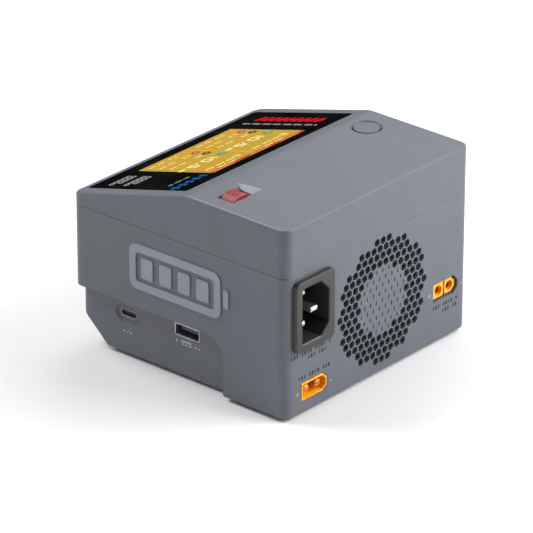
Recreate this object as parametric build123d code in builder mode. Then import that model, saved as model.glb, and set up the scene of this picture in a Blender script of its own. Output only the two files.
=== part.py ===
"""Desktop balance battery charger: a two-part plastic case with a sloping display,
a scroll wheel and a round power button on the roof, USB ports in a stepped side,
and mains inlet, battery connectors and a cooling fan at the back.

Frame: millimetres, +Z up, origin on the supporting surface under the middle of the
case. -Y is the front that the user faces, +Y the back with the fan, and +X the side
with the USB ports.
"""
from build123d import *
from math import cos, radians, sin, tan
import os

# ---------------------------------------------------------------- driving sizes
body_width = 118.0          # along X
body_depth = 117.0          # along Y
foot_height = 1.5           # rubber feet under the case
corner_radius = 4.5         # upright corners of the case
wall = 2.4                  # moulded wall thickness
gap = 0.2                   # clearance round inserted pieces
overlap = 1.0               # how far a cutting tool runs past a face

half_width = body_width / 2
half_depth = body_depth / 2
base_z = foot_height        # underside of the case

# roof: a nearly flat rear part, and a display slope in front of the ridge
ridge_y = 5.0
ridge_z = base_z + 84.6
slope_angle = 15.0
roof_fall_angle = 0.65
front_top_z = ridge_z - (ridge_y + half_depth) * tan(radians(slope_angle))
back_top_z = ridge_z - (half_depth - ridge_y) * tan(radians(roof_fall_angle))
seam_z = base_z + 62.8      # where the two case halves meet
seam_chamfer = 0.25
roof_edge_radius = 1.1
base_edge_radius = 1.0

# stepped-in lower part of the sides and front
step_z = base_z + 26.0
step_depth = 4.0
step_front_depth = 1.0
step_end_y = 24.8
step_end_radius = 10.0
step_corner_radius = 3.5
front_chamfer_run = 15.0
front_chamfer_rise = 13.4

step_x = half_width - step_depth
step_front_y = -half_depth + step_front_depth

# planes of the faces; each one's local x and y read as the object's own axes
rear_face = Plane.XZ.offset(-half_depth)          # extrudes inwards (-Y) when positive
front_face = Plane.XZ.offset(-step_front_y)       # extrudes inwards (+Y) when negative
port_face = Plane.YZ.offset(step_x)               # extrudes outwards (+X) when positive
slope_face = Plane(
    origin=(0, ridge_y, ridge_z),
    x_dir=(1, 0, 0),
    z_dir=(0, -sin(radians(slope_angle)), cos(radians(slope_angle))),
)

# display, measured along the slope from the ridge
window_width = 106.2
window_length = 57.2
window_centre = -33.6
window_thickness = 1.6
window_radius = 1.5

# scroll wheel and its slot in the roof
roof_z = ridge_z - 0.15     # the roof beside the wheel and the button
wheel_x, wheel_y = 45.3, 19.8
wheel_radius = 6.5
wheel_width = 7.6
wheel_rise = 1.6            # how far the wheel stands out of the roof
wheel_z = roof_z + wheel_rise - wheel_radius
wheel_slot_x = 44.7
wheel_slot_length = 14.2
wheel_slot_width = 8.5
ramp_length = 4.4           # the ramp's run beside the slot's back edge
ramp_front_length = 2.5     # and beside its front edge, where it flares out
ramp_flare = 3.9
ramp_depth = 1.5            # at the middle of the slot's edge

# round power button
button_x, button_y = -43.2, 15.5
button_radius = 5.7
button_rim_radius = 6.9     # outer edge of the soft chamfer round the button
button_travel = 0.8

# rear connectors and fan
inlet_x, inlet_z = 43.0, base_z + 44.7
inlet_width, inlet_height = 24.0, 31.2
dc_in_x, dc_in_z = 41.3, base_z + 9.5
dc_out_x, dc_out_z = -43.9, base_z + 22.8
fan_x, fan_z = -2.15, base_z + 32.7
fan_size = 60.0
fan_depth = 15.0
fan_hole_spacing = 50.0
fan_screw_radius = 1.8
fan_screw_bite = 1.2        # how far the fan's screws reach into the rear wall
grille_radius = 27.6
grille_hub_radius = 15.2
grille_pitch = 3.9
grille_hole = 3.2           # across the flats of each hexagonal hole

# USB ports in the step
usb_a_y, usb_a_z = 1.85, base_z + 20.7
usb_c_y, usb_c_z = -31.6, base_z + 18.3

# front connectors, one pair per charging channel
output_x = 19.0
balance_x = 41.0
front_port_z = base_z + 20.0

# boards and the columns that hold the case together
board_thickness = 1.6
main_board_z = base_z + 15.2
power_board_z = base_z + 38.5
control_board_z = base_z + 64.4
column_spacing_x, column_spacing_y, column_centre_y = 92.0, 73.0, -3.5
column_radius = 4.0
column_joint_z = base_z + 28.5
spacer_spacing_x, spacer_spacing_y = 74.0, 66.0


def finish(builder, name):
    """Label a finished piece and write it to its own file."""
    builder.part.label = name
    os.makedirs("parts", exist_ok=True)
    export_step(builder.part, f"parts/{name}.step")


# ---------------------------------------------------------------- case halves
def case_form(inset):
    """The closed outside form of the case, shrunk by the inset."""
    with BuildPart() as form:
        with BuildSketch(Plane.XY.offset(base_z + inset)):
            RectangleRounded(
                body_width - 2 * inset, body_depth - 2 * inset, max(corner_radius - inset, 1.2)
            )
        extrude(amount=ridge_z)
        slope_drop = inset / cos(radians(slope_angle))
        with BuildSketch(Plane.YZ):
            with BuildLine():
                Polyline(
                    (-half_depth - overlap, base_z - overlap),
                    (half_depth + overlap, base_z - overlap),
                    (half_depth + overlap, back_top_z - inset),
                    (ridge_y, ridge_z - inset),
                    (-half_depth, front_top_z - slope_drop),
                    (-half_depth - overlap, front_top_z - slope_drop),
                    close=True,
                )
            make_face()
        extrude(amount=body_width, both=True, mode=Mode.INTERSECT)
    return form


def step_ring(grow):
    """The space that the stepped-in lower sides and front leave, grown by a wall."""
    with BuildPart() as ring:
        end_y = step_end_y + grow
        top_z = step_z + grow
        radius = step_end_radius + grow
        with BuildSketch(Plane.YZ):
            with BuildLine():
                Polyline(
                    (end_y, top_z - radius),
                    (end_y, base_z - overlap),
                    (-half_depth - overlap, base_z - overlap),
                    (-half_depth - overlap, top_z),
                    (end_y - radius, top_z),
                )
                RadiusArc((end_y - radius, top_z), (end_y, top_z - radius), radius)
            make_face()
        extrude(amount=body_width, both=True)
        core_front = step_front_y + grow
        core_back = half_depth + 2 * overlap
        with BuildSketch(Plane.XY.offset(base_z - 2 * overlap)):
            with Locations((0, (core_front + core_back) / 2)):
                RectangleRounded(
                    2 * (step_x - grow), core_back - core_front, max(step_corner_radius - grow, 1.0)
                )
        extrude(amount=body_depth, mode=Mode.SUBTRACT)
    return ring


def front_wedge(grow):
    """The wedge cut from the front lower edge, grown by a wall."""
    with BuildPart() as wedge:
        with BuildSketch(Plane.YZ):
            with BuildLine():
                Polyline(
                    (step_front_y - overlap, base_z - overlap),
                    (step_front_y + front_chamfer_run + grow, base_z - overlap),
                    (step_front_y + front_chamfer_run + grow, base_z),
                    (step_front_y, base_z + front_chamfer_rise + grow),
                    (step_front_y - overlap, base_z + front_chamfer_rise + grow),
                    close=True,
                )
            make_face()
        extrude(amount=body_width, both=True)
    return wedge


outer_form = case_form(0)
with BuildPart() as outer_shape:
    add(outer_form.part)
    ridge_edge = edges().filter_by(Axis.X).sort_by(Axis.Z)[-1:]
    fillet(ridge_edge, radius=14)
    roof_faces = faces().filter_by(lambda f: f.normal_at().Z > 0.9)
    roof_rim = [e for e in edges() if sum(e in f.edges() for f in roof_faces) == 1]
    fillet(roof_rim, radius=roof_edge_radius)

inner_form = case_form(wall)
step_space = step_ring(0)
step_wall_space = step_ring(wall)
wedge_space = front_wedge(0)
wedge_wall_space = front_wedge(wall)

# the four hollow columns that the case screws pass through
column_spots = GridLocations(column_spacing_x, column_spacing_y, 2, 2).locations
column_centres = [(spot.position.X, spot.position.Y + column_centre_y) for spot in column_spots]
spacer_spots = GridLocations(spacer_spacing_x, spacer_spacing_y, 2, 2).locations
spacer_centres = [(spot.position.X, spot.position.Y + column_centre_y) for spot in spacer_spots]
spacer_radius = 3.0
board_screw_radius = 1.5
screw_hole_radius = 1.7
screw_head_radius = 3.0
screw_shelf = 4.0           # plastic left between the screw head and the joint


def lattice_points(reach):
    """Centres of a hexagonal lattice with rows along X, out to a given reach."""
    row_pitch = grille_pitch * cos(radians(30))
    rows = int(reach / row_pitch) + 1
    points = []
    for row in range(-rows, rows + 1):
        shift = 0 if row % 2 == 0 else grille_pitch / 2
        for column in range(-rows, rows + 1):
            x = column * grille_pitch + shift
            z = row * row_pitch
            if (x * x + z * z) ** 0.5 <= reach:
                points.append((fan_x + x, fan_z + z))
    return points


def distance_from_fan(point):
    """Distance of a lattice point from the fan's axis."""
    return ((point[0] - fan_x) ** 2 + (point[1] - fan_z) ** 2) ** 0.5


grille_points = [p for p in lattice_points(grille_radius) if distance_from_fan(p) > grille_hub_radius]
dimple_points = lattice_points(grille_hub_radius - 0.8)

# battery connector outline: a rectangle with two corners cut off
connector_width, connector_height = 16.0, 8.1
connector_corner = 2.5
socket_nose_shrink = 0.75   # the front of a female connector goes inside the male shroud
socket_cut_grow = 0.1       # its cut-out in the wall, round the nose
plug_shrink = 0.1
plug_cut_grow = 0.3


def connector_outline(shrink=0.0):
    """The keyed outline of a two-pole battery connector, its cut corners at -X."""
    half_w = connector_width / 2 - shrink
    half_h = connector_height / 2 - shrink
    cut = connector_corner - shrink * 0.6
    with BuildSketch() as outline:
        with BuildLine():
            Polyline(
                (half_w, half_h),
                (-half_w + cut, half_h),
                (-half_w, half_h - cut),
                (-half_w, -half_h + cut),
                (-half_w + cut, -half_h),
                (half_w, -half_h),
                close=True,
            )
        make_face()
    return outline.sketch


def inlet_outline(width, height, cut):
    """The keyed outline of a mains inlet standing upright, its cut corners at -X."""
    with BuildSketch() as outline:
        with BuildLine():
            Polyline(
                (width / 2, height / 2),
                (-width / 2 + cut, height / 2),
                (-width / 2, height / 2 - cut),
                (-width / 2, -height / 2 + cut),
                (-width / 2 + cut, -height / 2),
                (width / 2, -height / 2),
                close=True,
            )
        make_face()
    return outline.sketch


inlet_recess_width, inlet_recess_height, inlet_recess_cut = 16.5, 24.4, 5.0
inlet_wall = 1.6
inlet_body_width = inlet_recess_width + 2 * inlet_wall
inlet_body_height = inlet_recess_height + 2 * inlet_wall
inlet_proud = 2.4           # how far the inlet's flange stands off the back
inlet_depth = 16.0          # depth of the recess from the flange's face

lip_height = 1.8
lip_thickness = 1.0
lip_inset = wall / 2
lip_gap = 0.12
dimple_length, dimple_width, dimple_depth = 2.1, 0.6, 0.35
usb_pocket_depth = 1.0
usb_pocket_length, usb_pocket_height, usb_pocket_slant = 13.6, 7.9, 1.2
usb_a_width, usb_a_height = 13.6, 5.5
usb_c_width, usb_c_height = 8.7, 2.92
balance_width, balance_height = 20.0, 5.8
vent_slot_length, vent_slot_width, vent_pitch = 16.0, 1.8, 4.0
side_vent_count, floor_vent_rows, floor_vent_columns = 13, 9, 3

# the room inside the case, following the step and the front chamfer
with BuildPart() as cavity:
    add(inner_form.part)
    add(step_wall_space.part, mode=Mode.SUBTRACT)
    add(wedge_wall_space.part, mode=Mode.SUBTRACT)

with BuildPart() as lower_case:
    add(outer_shape.part)
    split(bisect_by=Plane.XY.offset(seam_z), keep=Keep.BOTTOM)
    add(step_space.part, mode=Mode.SUBTRACT)
    add(wedge_space.part, mode=Mode.SUBTRACT)
    fillet(faces().sort_by(Axis.Z)[0].edges(), radius=base_edge_radius)
    chamfer(faces().sort_by(Axis.Z)[-1].outer_wire().edges(), length=seam_chamfer)
    add(cavity.part, mode=Mode.SUBTRACT)
    # locating lip inside the seam, left out along the fan
    with BuildSketch(Plane.XY.offset(seam_z - lip_height)):
        RectangleRounded(body_width - wall, body_depth - wall, corner_radius - lip_inset)
        RectangleRounded(
            body_width - wall - 2 * lip_thickness,
            body_depth - wall - 2 * lip_thickness,
            corner_radius - lip_inset - lip_thickness,
            mode=Mode.SUBTRACT,
        )
        with Locations((fan_x, half_depth)):
            Rectangle(fan_size + 2, 2 * wall + 2 * lip_thickness, mode=Mode.SUBTRACT)
    extrude(amount=2 * lip_height)
    # screw columns, hollow from below up to the shelf that the screw head pulls on
    with BuildSketch(Plane.XY.offset(base_z + wall / 2)):
        with Locations(*column_centres):
            Circle(column_radius)
    extrude(amount=column_joint_z - base_z - wall / 2)
    with BuildSketch(Plane.XY.offset(base_z - overlap)):
        with Locations(*column_centres):
            Circle(screw_head_radius)
    extrude(amount=column_joint_z - base_z + overlap - screw_shelf, mode=Mode.SUBTRACT)
    with BuildSketch(Plane.XY.offset(base_z)):
        with Locations(*column_centres):
            Circle(screw_hole_radius)
    extrude(amount=column_joint_z, mode=Mode.SUBTRACT)
    # bosses under the main board
    with BuildSketch(Plane.XY.offset(base_z + wall / 2)):
        with Locations(*spacer_centres):
            Circle(spacer_radius)
            Circle(board_screw_radius, mode=Mode.SUBTRACT)
    extrude(amount=main_board_z - base_z - wall / 2)
    # fan grille: open holes in a ring, shallow dimples over the fan's hub
    with BuildSketch(rear_face.offset(-overlap)):
        with Locations(*grille_points):
            RegularPolygon(grille_hole / 2, 6, major_radius=False, rotation=30)
    extrude(amount=wall + 2 * overlap, mode=Mode.SUBTRACT)
    with BuildSketch(rear_face.offset(-overlap)):
        with Locations(*dimple_points):
            SlotOverall(dimple_length, dimple_width, rotation=90)
    extrude(amount=overlap + dimple_depth, mode=Mode.SUBTRACT)
    with BuildSketch(rear_face.offset(wall)):
        with Locations((fan_x, fan_z)):
            with GridLocations(fan_hole_spacing, fan_hole_spacing, 2, 2):
                Circle(fan_screw_radius + 0.05)
    extrude(amount=-fan_screw_bite - 0.05, mode=Mode.SUBTRACT)
    # cut-outs for the mains inlet and the two rear battery connectors
    with BuildSketch(rear_face.offset(-overlap)):
        with Locations((inlet_x, inlet_z)):
            Rectangle(inlet_body_width + gap, inlet_body_height + gap)
        with Locations((dc_in_x, dc_in_z)):
            add(connector_outline(-plug_cut_grow))
        with Locations((dc_out_x, dc_out_z)):
            add(connector_outline(-socket_cut_grow))
    extrude(amount=wall + 2 * overlap, mode=Mode.SUBTRACT)
    # cut-outs for the front connectors
    with BuildSketch(front_face.offset(overlap)):
        with Locations((-output_x, front_port_z), (output_x, front_port_z)):
            add(connector_outline(-socket_cut_grow))
        with Locations((-balance_x, front_port_z), (balance_x, front_port_z)):
            Rectangle(balance_width + gap, balance_height + gap)
    extrude(amount=-wall - 2 * overlap, mode=Mode.SUBTRACT)
    # USB ports: one plain cut-out, one in a dished pocket
    with BuildSketch(port_face.offset(overlap)):
        with Locations((usb_a_y, usb_a_z)):
            Rectangle(usb_a_width + gap, usb_a_height + gap)
        with Locations((usb_c_y, usb_c_z)):
            SlotOverall(usb_c_width + gap, usb_c_height + gap)
    extrude(amount=-wall - 2 * overlap, mode=Mode.SUBTRACT)
    with BuildSketch(port_face):
        with Locations((usb_c_y, usb_c_z)):
            RectangleRounded(usb_pocket_length, usb_pocket_height, usb_pocket_height / 2 - 0.1)
    with BuildSketch(port_face.offset(-usb_pocket_depth)):
        with Locations((usb_c_y, usb_c_z)):
            RectangleRounded(
                usb_pocket_length - 2 * usb_pocket_slant,
                usb_pocket_height - 2 * usb_pocket_slant,
                usb_pocket_height / 2 - usb_pocket_slant - 0.1,
            )
    loft(mode=Mode.SUBTRACT)
    # air inlet slots in the -X side and in the floor
    with BuildSketch(Plane.YZ.offset(-half_width - overlap)):
        with Locations((column_centre_y, step_z + vent_slot_length)):
            with GridLocations(vent_pitch, 0, side_vent_count, 1):
                SlotOverall(vent_slot_length, vent_slot_width, rotation=90)
    extrude(amount=wall + 2 * overlap, mode=Mode.SUBTRACT)
    with BuildSketch(Plane.XY.offset(base_z - overlap)):
        with GridLocations(1.4 * vent_slot_length, vent_pitch, floor_vent_columns, floor_vent_rows):
            SlotOverall(vent_slot_length, vent_slot_width)
    extrude(amount=wall + 2 * overlap, mode=Mode.SUBTRACT)
finish(lower_case, "lower_case")

screw_shank_radius = 1.5
post_hole_depth = 12.0
window_gap = 0.1
window_opening_width, window_opening_length = 72.0, 50.5
wheel_sleeve_wall = 1.4
wheel_carrier_length, wheel_carrier_width = 17.0, 16.0
wheel_carrier_gap = 0.35
wheel_sleeve_low_z = wheel_z - wheel_radius - 3.1
button_collar_radius = 8.4
button_collar_wall = 1.2
button_collar_height = 5.0
board_boss_x, board_boss_y = 18.0, 18.0
board_boss_radius = 2.6
small_screw_radius = 0.9
roof_under_z = ridge_z - wall
control_board_top_z = control_board_z + board_thickness

# posts, bosses, the wheel's sleeve and the button's collar, trimmed to the case form
with BuildPart() as roof_hangers:
    with BuildSketch(Plane.XY.offset(column_joint_z)):
        with Locations(*column_centres):
            Circle(column_radius)
    extrude(amount=ridge_z - column_joint_z)
    with BuildSketch(Plane.XY.offset(wheel_sleeve_low_z)):
        with Locations((wheel_x, wheel_y)):
            Rectangle(
                wheel_carrier_length + 2 * (wheel_carrier_gap + wheel_sleeve_wall),
                wheel_carrier_width + 2 * (wheel_carrier_gap + wheel_sleeve_wall),
            )
    extrude(amount=ridge_z - wheel_sleeve_low_z)
    with BuildSketch(Plane.XY.offset(wheel_sleeve_low_z)):
        with Locations((wheel_x, wheel_y)):
            Rectangle(
                wheel_carrier_length + 2 * wheel_carrier_gap,
                wheel_carrier_width + 2 * wheel_carrier_gap,
            )
    extrude(amount=roof_under_z - wheel_sleeve_low_z, mode=Mode.SUBTRACT)
    with BuildSketch(Plane.XY.offset(roof_under_z - button_collar_height)):
        with Locations((button_x, button_y)):
            Circle(button_collar_radius + button_collar_wall)
            Circle(button_collar_radius, mode=Mode.SUBTRACT)
    extrude(amount=button_collar_height + overlap)
    with BuildSketch(Plane.XY.offset(control_board_top_z)):
        with Locations((-board_boss_x, board_boss_y), (board_boss_x, board_boss_y)):
            Circle(board_boss_radius)
            Circle(small_screw_radius, mode=Mode.SUBTRACT)
    extrude(amount=ridge_z - wall / 2 - control_board_top_z)
    add(outer_shape.part, mode=Mode.INTERSECT)

# the recess that leads a thumb from the roof down to the wheel
slot_edge_x = wheel_slot_x - wheel_slot_length / 2
slot_front_y = wheel_y - wheel_slot_width / 2
slot_back_y = wheel_y + wheel_slot_width / 2
ramp_front = Vector(slot_edge_x - ramp_front_length, slot_front_y - ramp_flare, roof_z)
ramp_back = Vector(slot_edge_x - ramp_length, slot_back_y, roof_z)
ramp_foot = Vector(slot_edge_x, wheel_y, roof_z - ramp_depth)
ramp_floor = Plane(
    origin=ramp_front,
    x_dir=ramp_back - ramp_front,
    z_dir=(ramp_foot - ramp_front).cross(ramp_back - ramp_front),
)
with BuildPart() as thumb_ramp:
    with BuildSketch(Plane.XY.offset(roof_z - 2 * ramp_depth)):
        with BuildLine():
            Polyline(
                (slot_edge_x + overlap, slot_front_y),
                (slot_edge_x, slot_front_y),
                (ramp_front.X, ramp_front.Y),
                (ramp_back.X, ramp_back.Y),
                (slot_edge_x + overlap, slot_back_y),
                close=True,
            )
        make_face()
    extrude(amount=2 * ramp_depth + overlap)
    split(bisect_by=ramp_floor, keep=Keep.TOP)

with BuildPart() as top_cover:
    add(outer_shape.part)
    split(bisect_by=Plane.XY.offset(seam_z), keep=Keep.TOP)
    chamfer(faces().sort_by(Axis.Z)[0].outer_wire().edges(), length=seam_chamfer)
    add(inner_form.part, mode=Mode.SUBTRACT)
    add(roof_hangers.part)
    # rebate for the lower case's locating lip
    with BuildSketch(Plane.XY.offset(seam_z)):
        RectangleRounded(
            body_width - wall + 2 * lip_gap,
            body_depth - wall + 2 * lip_gap,
            corner_radius - lip_inset + lip_gap,
        )
        RectangleRounded(
            body_width - 2 * wall - overlap, body_depth - 2 * wall - overlap, 1.2, mode=Mode.SUBTRACT
        )
    extrude(amount=lip_height + gap, mode=Mode.SUBTRACT)
    # rebate for the display window, and the opening under it
    with BuildSketch(slope_face.offset(-window_thickness - window_gap / 2)):
        with Locations((0, window_centre)):
            RectangleRounded(
                window_width + 2 * window_gap, window_length + 2 * window_gap, window_radius
            )
    extrude(amount=window_thickness + overlap, mode=Mode.SUBTRACT)
    with BuildSketch(slope_face.offset(-wall - overlap)):
        with Locations((0, window_centre)):
            Rectangle(window_opening_width, window_opening_length)
    extrude(amount=wall + overlap, mode=Mode.SUBTRACT)
    # wheel slot with its thumb ramp, and the button's hole with a wide soft chamfer
    with BuildSketch(Plane.XY.offset(roof_under_z - overlap)):
        with Locations((wheel_slot_x, wheel_y)):
            Rectangle(wheel_slot_length, wheel_slot_width)
    extrude(amount=wall + 2 * overlap, mode=Mode.SUBTRACT)
    add(thumb_ramp.part, mode=Mode.SUBTRACT)
    with Locations(Plane.XY.offset(roof_z)):
        with Locations((button_x, button_y)):
            CounterSinkHole(button_radius + gap, button_rim_radius, depth=wall + 2 * overlap)
    # pilot holes for the case screws
    with BuildSketch(Plane.XY.offset(column_joint_z)):
        with Locations(*column_centres):
            Circle(screw_shank_radius)
    extrude(amount=post_hole_depth, mode=Mode.SUBTRACT)
finish(top_cover, "top_cover")

# ---------------------------------------------------------------- raised side emblem
emblem_y, emblem_z = -1.0, base_z + 45.0
emblem_length, emblem_height = 50.0, 20.6
emblem_relief = 0.6
emblem_radius = 4.0
emblem_stroke = 3.6
emblem_bar_width, emblem_bar_height, emblem_bar_pitch = 6.6, 9.4, 10.2
emblem_terminal_width, emblem_terminal_height = 2.8, 8.4
emblem_bar_radius = 1.0
side_face = Plane.YZ.offset(half_width)

with BuildPart() as side_emblem:
    # a battery sign: outline, terminal and four charge bars, bonded to the side
    with BuildSketch(side_face):
        with Locations((emblem_y, emblem_z)):
            RectangleRounded(emblem_length, emblem_height, emblem_radius)
            RectangleRounded(
                emblem_length - 2 * emblem_stroke,
                emblem_height - 2 * emblem_stroke,
                emblem_radius / 2,
                mode=Mode.SUBTRACT,
            )
        with Locations((emblem_y + emblem_length / 2 + emblem_terminal_width, emblem_z)):
            RectangleRounded(emblem_terminal_width, emblem_terminal_height, emblem_bar_radius)
        with Locations((emblem_y, emblem_z)):
            with GridLocations(emblem_bar_pitch, 0, 4, 1):
                RectangleRounded(emblem_bar_width, emblem_bar_height, emblem_bar_radius)
    extrude(amount=emblem_relief)
    fillet(faces().sort_by(Axis.X)[-5:].edges(), radius=0.2)
finish(side_emblem, "side_emblem")

# ---------------------------------------------------------------- display
lcd_width, lcd_length, lcd_thickness = 70.0, 49.5, 3.2
lcd_ledge, lcd_ledge_depth = 2.0, 0.4
lcd_top = -window_thickness - window_gap
frame_top = -wall - window_gap
frame_width, frame_length = 83.0, 54.0
frame_thickness = lcd_thickness + window_thickness - wall
display_board_top = frame_top - frame_thickness - 0.05
display_board_width, display_board_length = 82.0, 52.0
display_screw_x, display_screw_y = 38.4, 22.5

with BuildPart() as display_window:
    with BuildSketch(slope_face.offset(-window_thickness)):
        with Locations((0, window_centre)):
            RectangleRounded(window_width, window_length, window_radius)
    extrude(amount=window_thickness)
finish(display_window, "display_window")

with BuildPart() as lcd_panel:
    with BuildSketch(slope_face.offset(lcd_top)):
        with Locations((0, window_centre)):
            Rectangle(lcd_width, lcd_length)
    extrude(amount=-lcd_thickness)
    # shallow ledge round the glass of the panel
    with BuildSketch(slope_face.offset(lcd_top)):
        with Locations((0, window_centre)):
            Rectangle(lcd_width, lcd_length)
            Rectangle(lcd_width - 2 * lcd_ledge, lcd_length - 2 * lcd_ledge, mode=Mode.SUBTRACT)
    extrude(amount=-lcd_ledge_depth, mode=Mode.SUBTRACT)
finish(lcd_panel, "lcd_panel")

with BuildPart() as display_frame:
    with BuildSketch(slope_face.offset(frame_top)):
        with Locations((0, window_centre)):
            RectangleRounded(frame_width, frame_length, 2.0)
            Rectangle(lcd_width + 2 * gap, lcd_length + 2 * gap, mode=Mode.SUBTRACT)
            with GridLocations(2 * display_screw_x, 2 * display_screw_y, 2, 2):
                Circle(small_screw_radius, mode=Mode.SUBTRACT)
    extrude(amount=-frame_thickness)
finish(display_frame, "display_frame")

with BuildPart() as display_board:
    with BuildSketch(slope_face.offset(display_board_top)):
        with Locations((0, window_centre)):
            RectangleRounded(display_board_width, display_board_length, 1.5)
            with GridLocations(2 * display_screw_x, 2 * display_screw_y, 2, 2):
                Circle(small_screw_radius, mode=Mode.SUBTRACT)
    extrude(amount=-board_thickness)
finish(display_board, "display_board")

# ---------------------------------------------------------------- control board
control_board_width, control_board_length, control_board_y = 104.0, 18.4, 16.2

with BuildPart() as control_board:
    with BuildSketch(Plane.XY.offset(control_board_z)):
        with Locations((0, control_board_y)):
            RectangleRounded(control_board_width, control_board_length, 1.5)
        with Locations((-board_boss_x, board_boss_y), (board_boss_x, board_boss_y)):
            Circle(small_screw_radius, mode=Mode.SUBTRACT)
    extrude(amount=board_thickness)
finish(control_board, "control_board")

small_head_radius, small_head_height = 1.8, 1.3
small_screw_length = frame_top - display_board_top + board_thickness
display_screw_face = slope_face.offset(display_board_top - board_thickness)
display_screw_spots = GridLocations(2 * display_screw_x, 2 * display_screw_y, 2, 2).locations
small_screw_sets = (
    (
        display_screw_face,
        [(spot.position.X, spot.position.Y + window_centre) for spot in display_screw_spots],
    ),
    (
        Plane.XY.offset(control_board_z),
        [(-board_boss_x, board_boss_y), (board_boss_x, board_boss_y)],
    ),
)
with BuildPart() as small_screws:
    for head_plane, places in small_screw_sets:
        with BuildSketch(head_plane):
            with Locations(*places):
                Circle(small_head_radius)
        extrude(amount=-small_head_height)
        with BuildSketch(head_plane):
            with Locations(*places):
                Circle(small_screw_radius)
        extrude(amount=small_screw_length)
finish(small_screws, "small_screws")

ribbon_width, ribbon_thickness = 12.0, 0.3
ribbon_start = slope_face.from_local_coords(
    (0, window_centre / 2, display_board_top - board_thickness - ribbon_thickness)
)
ribbon_low_z = control_board_top_z + ribbon_thickness
with BuildPart() as display_ribbon:
    # flat flex from the underside of the display board to the control board
    with BuildSketch(Plane.YZ.offset(-ribbon_width / 2)):
        with BuildLine():
            FilletPolyline(
                (ribbon_start.Y, ribbon_start.Z),
                (ribbon_start.Y, ribbon_low_z),
                (control_board_y - control_board_length / 2 + 4, ribbon_low_z),
                radius=2.5,
            )
        trace(line_width=ribbon_thickness)
    extrude(amount=ribbon_width)
finish(display_ribbon, "display_ribbon")

switch_width, switch_height = 6.0, 3.4
plunger_radius, plunger_height = 1.7, 0.5

with BuildPart() as push_switches:
    # two identical push switches, under the power button and under the wheel
    with BuildSketch(Plane.XY.offset(control_board_top_z)):
        with Locations((button_x, button_y), (wheel_x, wheel_y)):
            RectangleRounded(switch_width, switch_width, 0.4)
    extrude(amount=switch_height)
    with BuildSketch(Plane.XY.offset(control_board_top_z + switch_height)):
        with Locations((button_x, button_y), (wheel_x, wheel_y)):
            Circle(plunger_radius)
    extrude(amount=plunger_height)
finish(push_switches, "push_switches")

# ---------------------------------------------------------------- power button
button_flange_radius = 7.8
button_flange_top_z = roof_under_z - 0.5
button_flange_thickness = 1.2
button_stem_radius = 2.2
button_stem_low_z = control_board_top_z + switch_height + plunger_height + button_travel + 0.1
guide_top_z = control_board_top_z + 8.5
guide_radius = 5.6
guide_wall = 1.0

with BuildPart() as power_button:
    with BuildSketch(Plane.XY.offset(button_flange_top_z)):
        with Locations((button_x, button_y)):
            Circle(button_radius)
    extrude(amount=roof_z - button_flange_top_z)
    fillet(faces().sort_by(Axis.Z)[-1].edges(), radius=0.35)
    with BuildSketch(Plane.XY.offset(button_flange_top_z - button_flange_thickness)):
        with Locations((button_x, button_y)):
            Circle(button_flange_radius)
    extrude(amount=button_flange_thickness)
    with BuildSketch(Plane.XY.offset(button_stem_low_z)):
        with Locations((button_x, button_y)):
            Circle(button_stem_radius)
    extrude(amount=button_flange_top_z - button_stem_low_z)
finish(power_button, "power_button")

with BuildPart() as button_guide:
    with BuildSketch(Plane.XY.offset(control_board_top_z)):
        with Locations((button_x, button_y)):
            Circle(guide_radius)
            Circle(guide_radius - guide_wall, mode=Mode.SUBTRACT)
    extrude(amount=guide_top_z - control_board_top_z)
    with BuildSketch(Plane.XY.offset(guide_top_z - guide_wall)):
        with Locations((button_x, button_y)):
            Circle(guide_radius)
            Circle(button_stem_radius + 0.3, mode=Mode.SUBTRACT)
    extrude(amount=guide_wall)
finish(button_guide, "button_guide")

spring_wire_radius = 0.25
spring_radius = 3.4
spring_turns = 5
spring_low_z = guide_top_z + button_travel + 2 * spring_wire_radius
spring_high_z = button_flange_top_z - button_flange_thickness - spring_wire_radius - 0.05
spring_length = spring_high_z - spring_low_z

with BuildPart() as button_spring:
    with BuildLine() as spring_line:
        Helix(
            pitch=spring_length / spring_turns,
            height=spring_length,
            radius=spring_radius,
            center=(button_x, button_y, spring_low_z),
        )
    with BuildSketch(Plane(spring_line.line @ 0, z_dir=spring_line.line % 0)):
        Circle(spring_wire_radius)
    sweep(is_frenet=True)
finish(button_spring, "button_spring")

# ---------------------------------------------------------------- scroll wheel
axle_radius = 1.0
running_fit = 0.05
carrier_base_z = wheel_sleeve_low_z + 0.6
carrier_base_thickness = 1.2
cheek_inner = wheel_width / 2 + 0.5
cheek_thickness = 2.1
cheek_length = 10.0
cheek_top_z = roof_under_z - 0.6
encoder_thickness = wheel_carrier_width / 2 - cheek_inner - cheek_thickness
wheel_plane = Plane.XZ.offset(-wheel_y)           # local x = X, local y = Z
groove_count = 4
groove_width, groove_depth, groove_pitch = 0.3, 0.12, 1.45
wheel_chamfer = 0.5
encoder_size = 8.0

with BuildPart() as scroll_wheel:
    with BuildSketch(Plane.XY):
        Rectangle(wheel_radius, wheel_width, align=(Align.MIN, Align.CENTER))
        with Locations((wheel_radius, 0)):
            with GridLocations(0, groove_pitch, 1, groove_count):
                Rectangle(2 * groove_depth, groove_width, mode=Mode.SUBTRACT)
        chamfer(vertices().group_by(Axis.X)[-1].sort_by(Axis.Y)[0], length=wheel_chamfer)
        chamfer(vertices().group_by(Axis.X)[-1].sort_by(Axis.Y)[-1], length=wheel_chamfer)
        Rectangle(axle_radius, wheel_width, align=(Align.MIN, Align.CENTER), mode=Mode.SUBTRACT)
    revolve(axis=Axis.Y)
scroll_wheel.part = Pos(wheel_x, wheel_y, wheel_z) * scroll_wheel.part
finish(scroll_wheel, "scroll_wheel")

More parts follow.
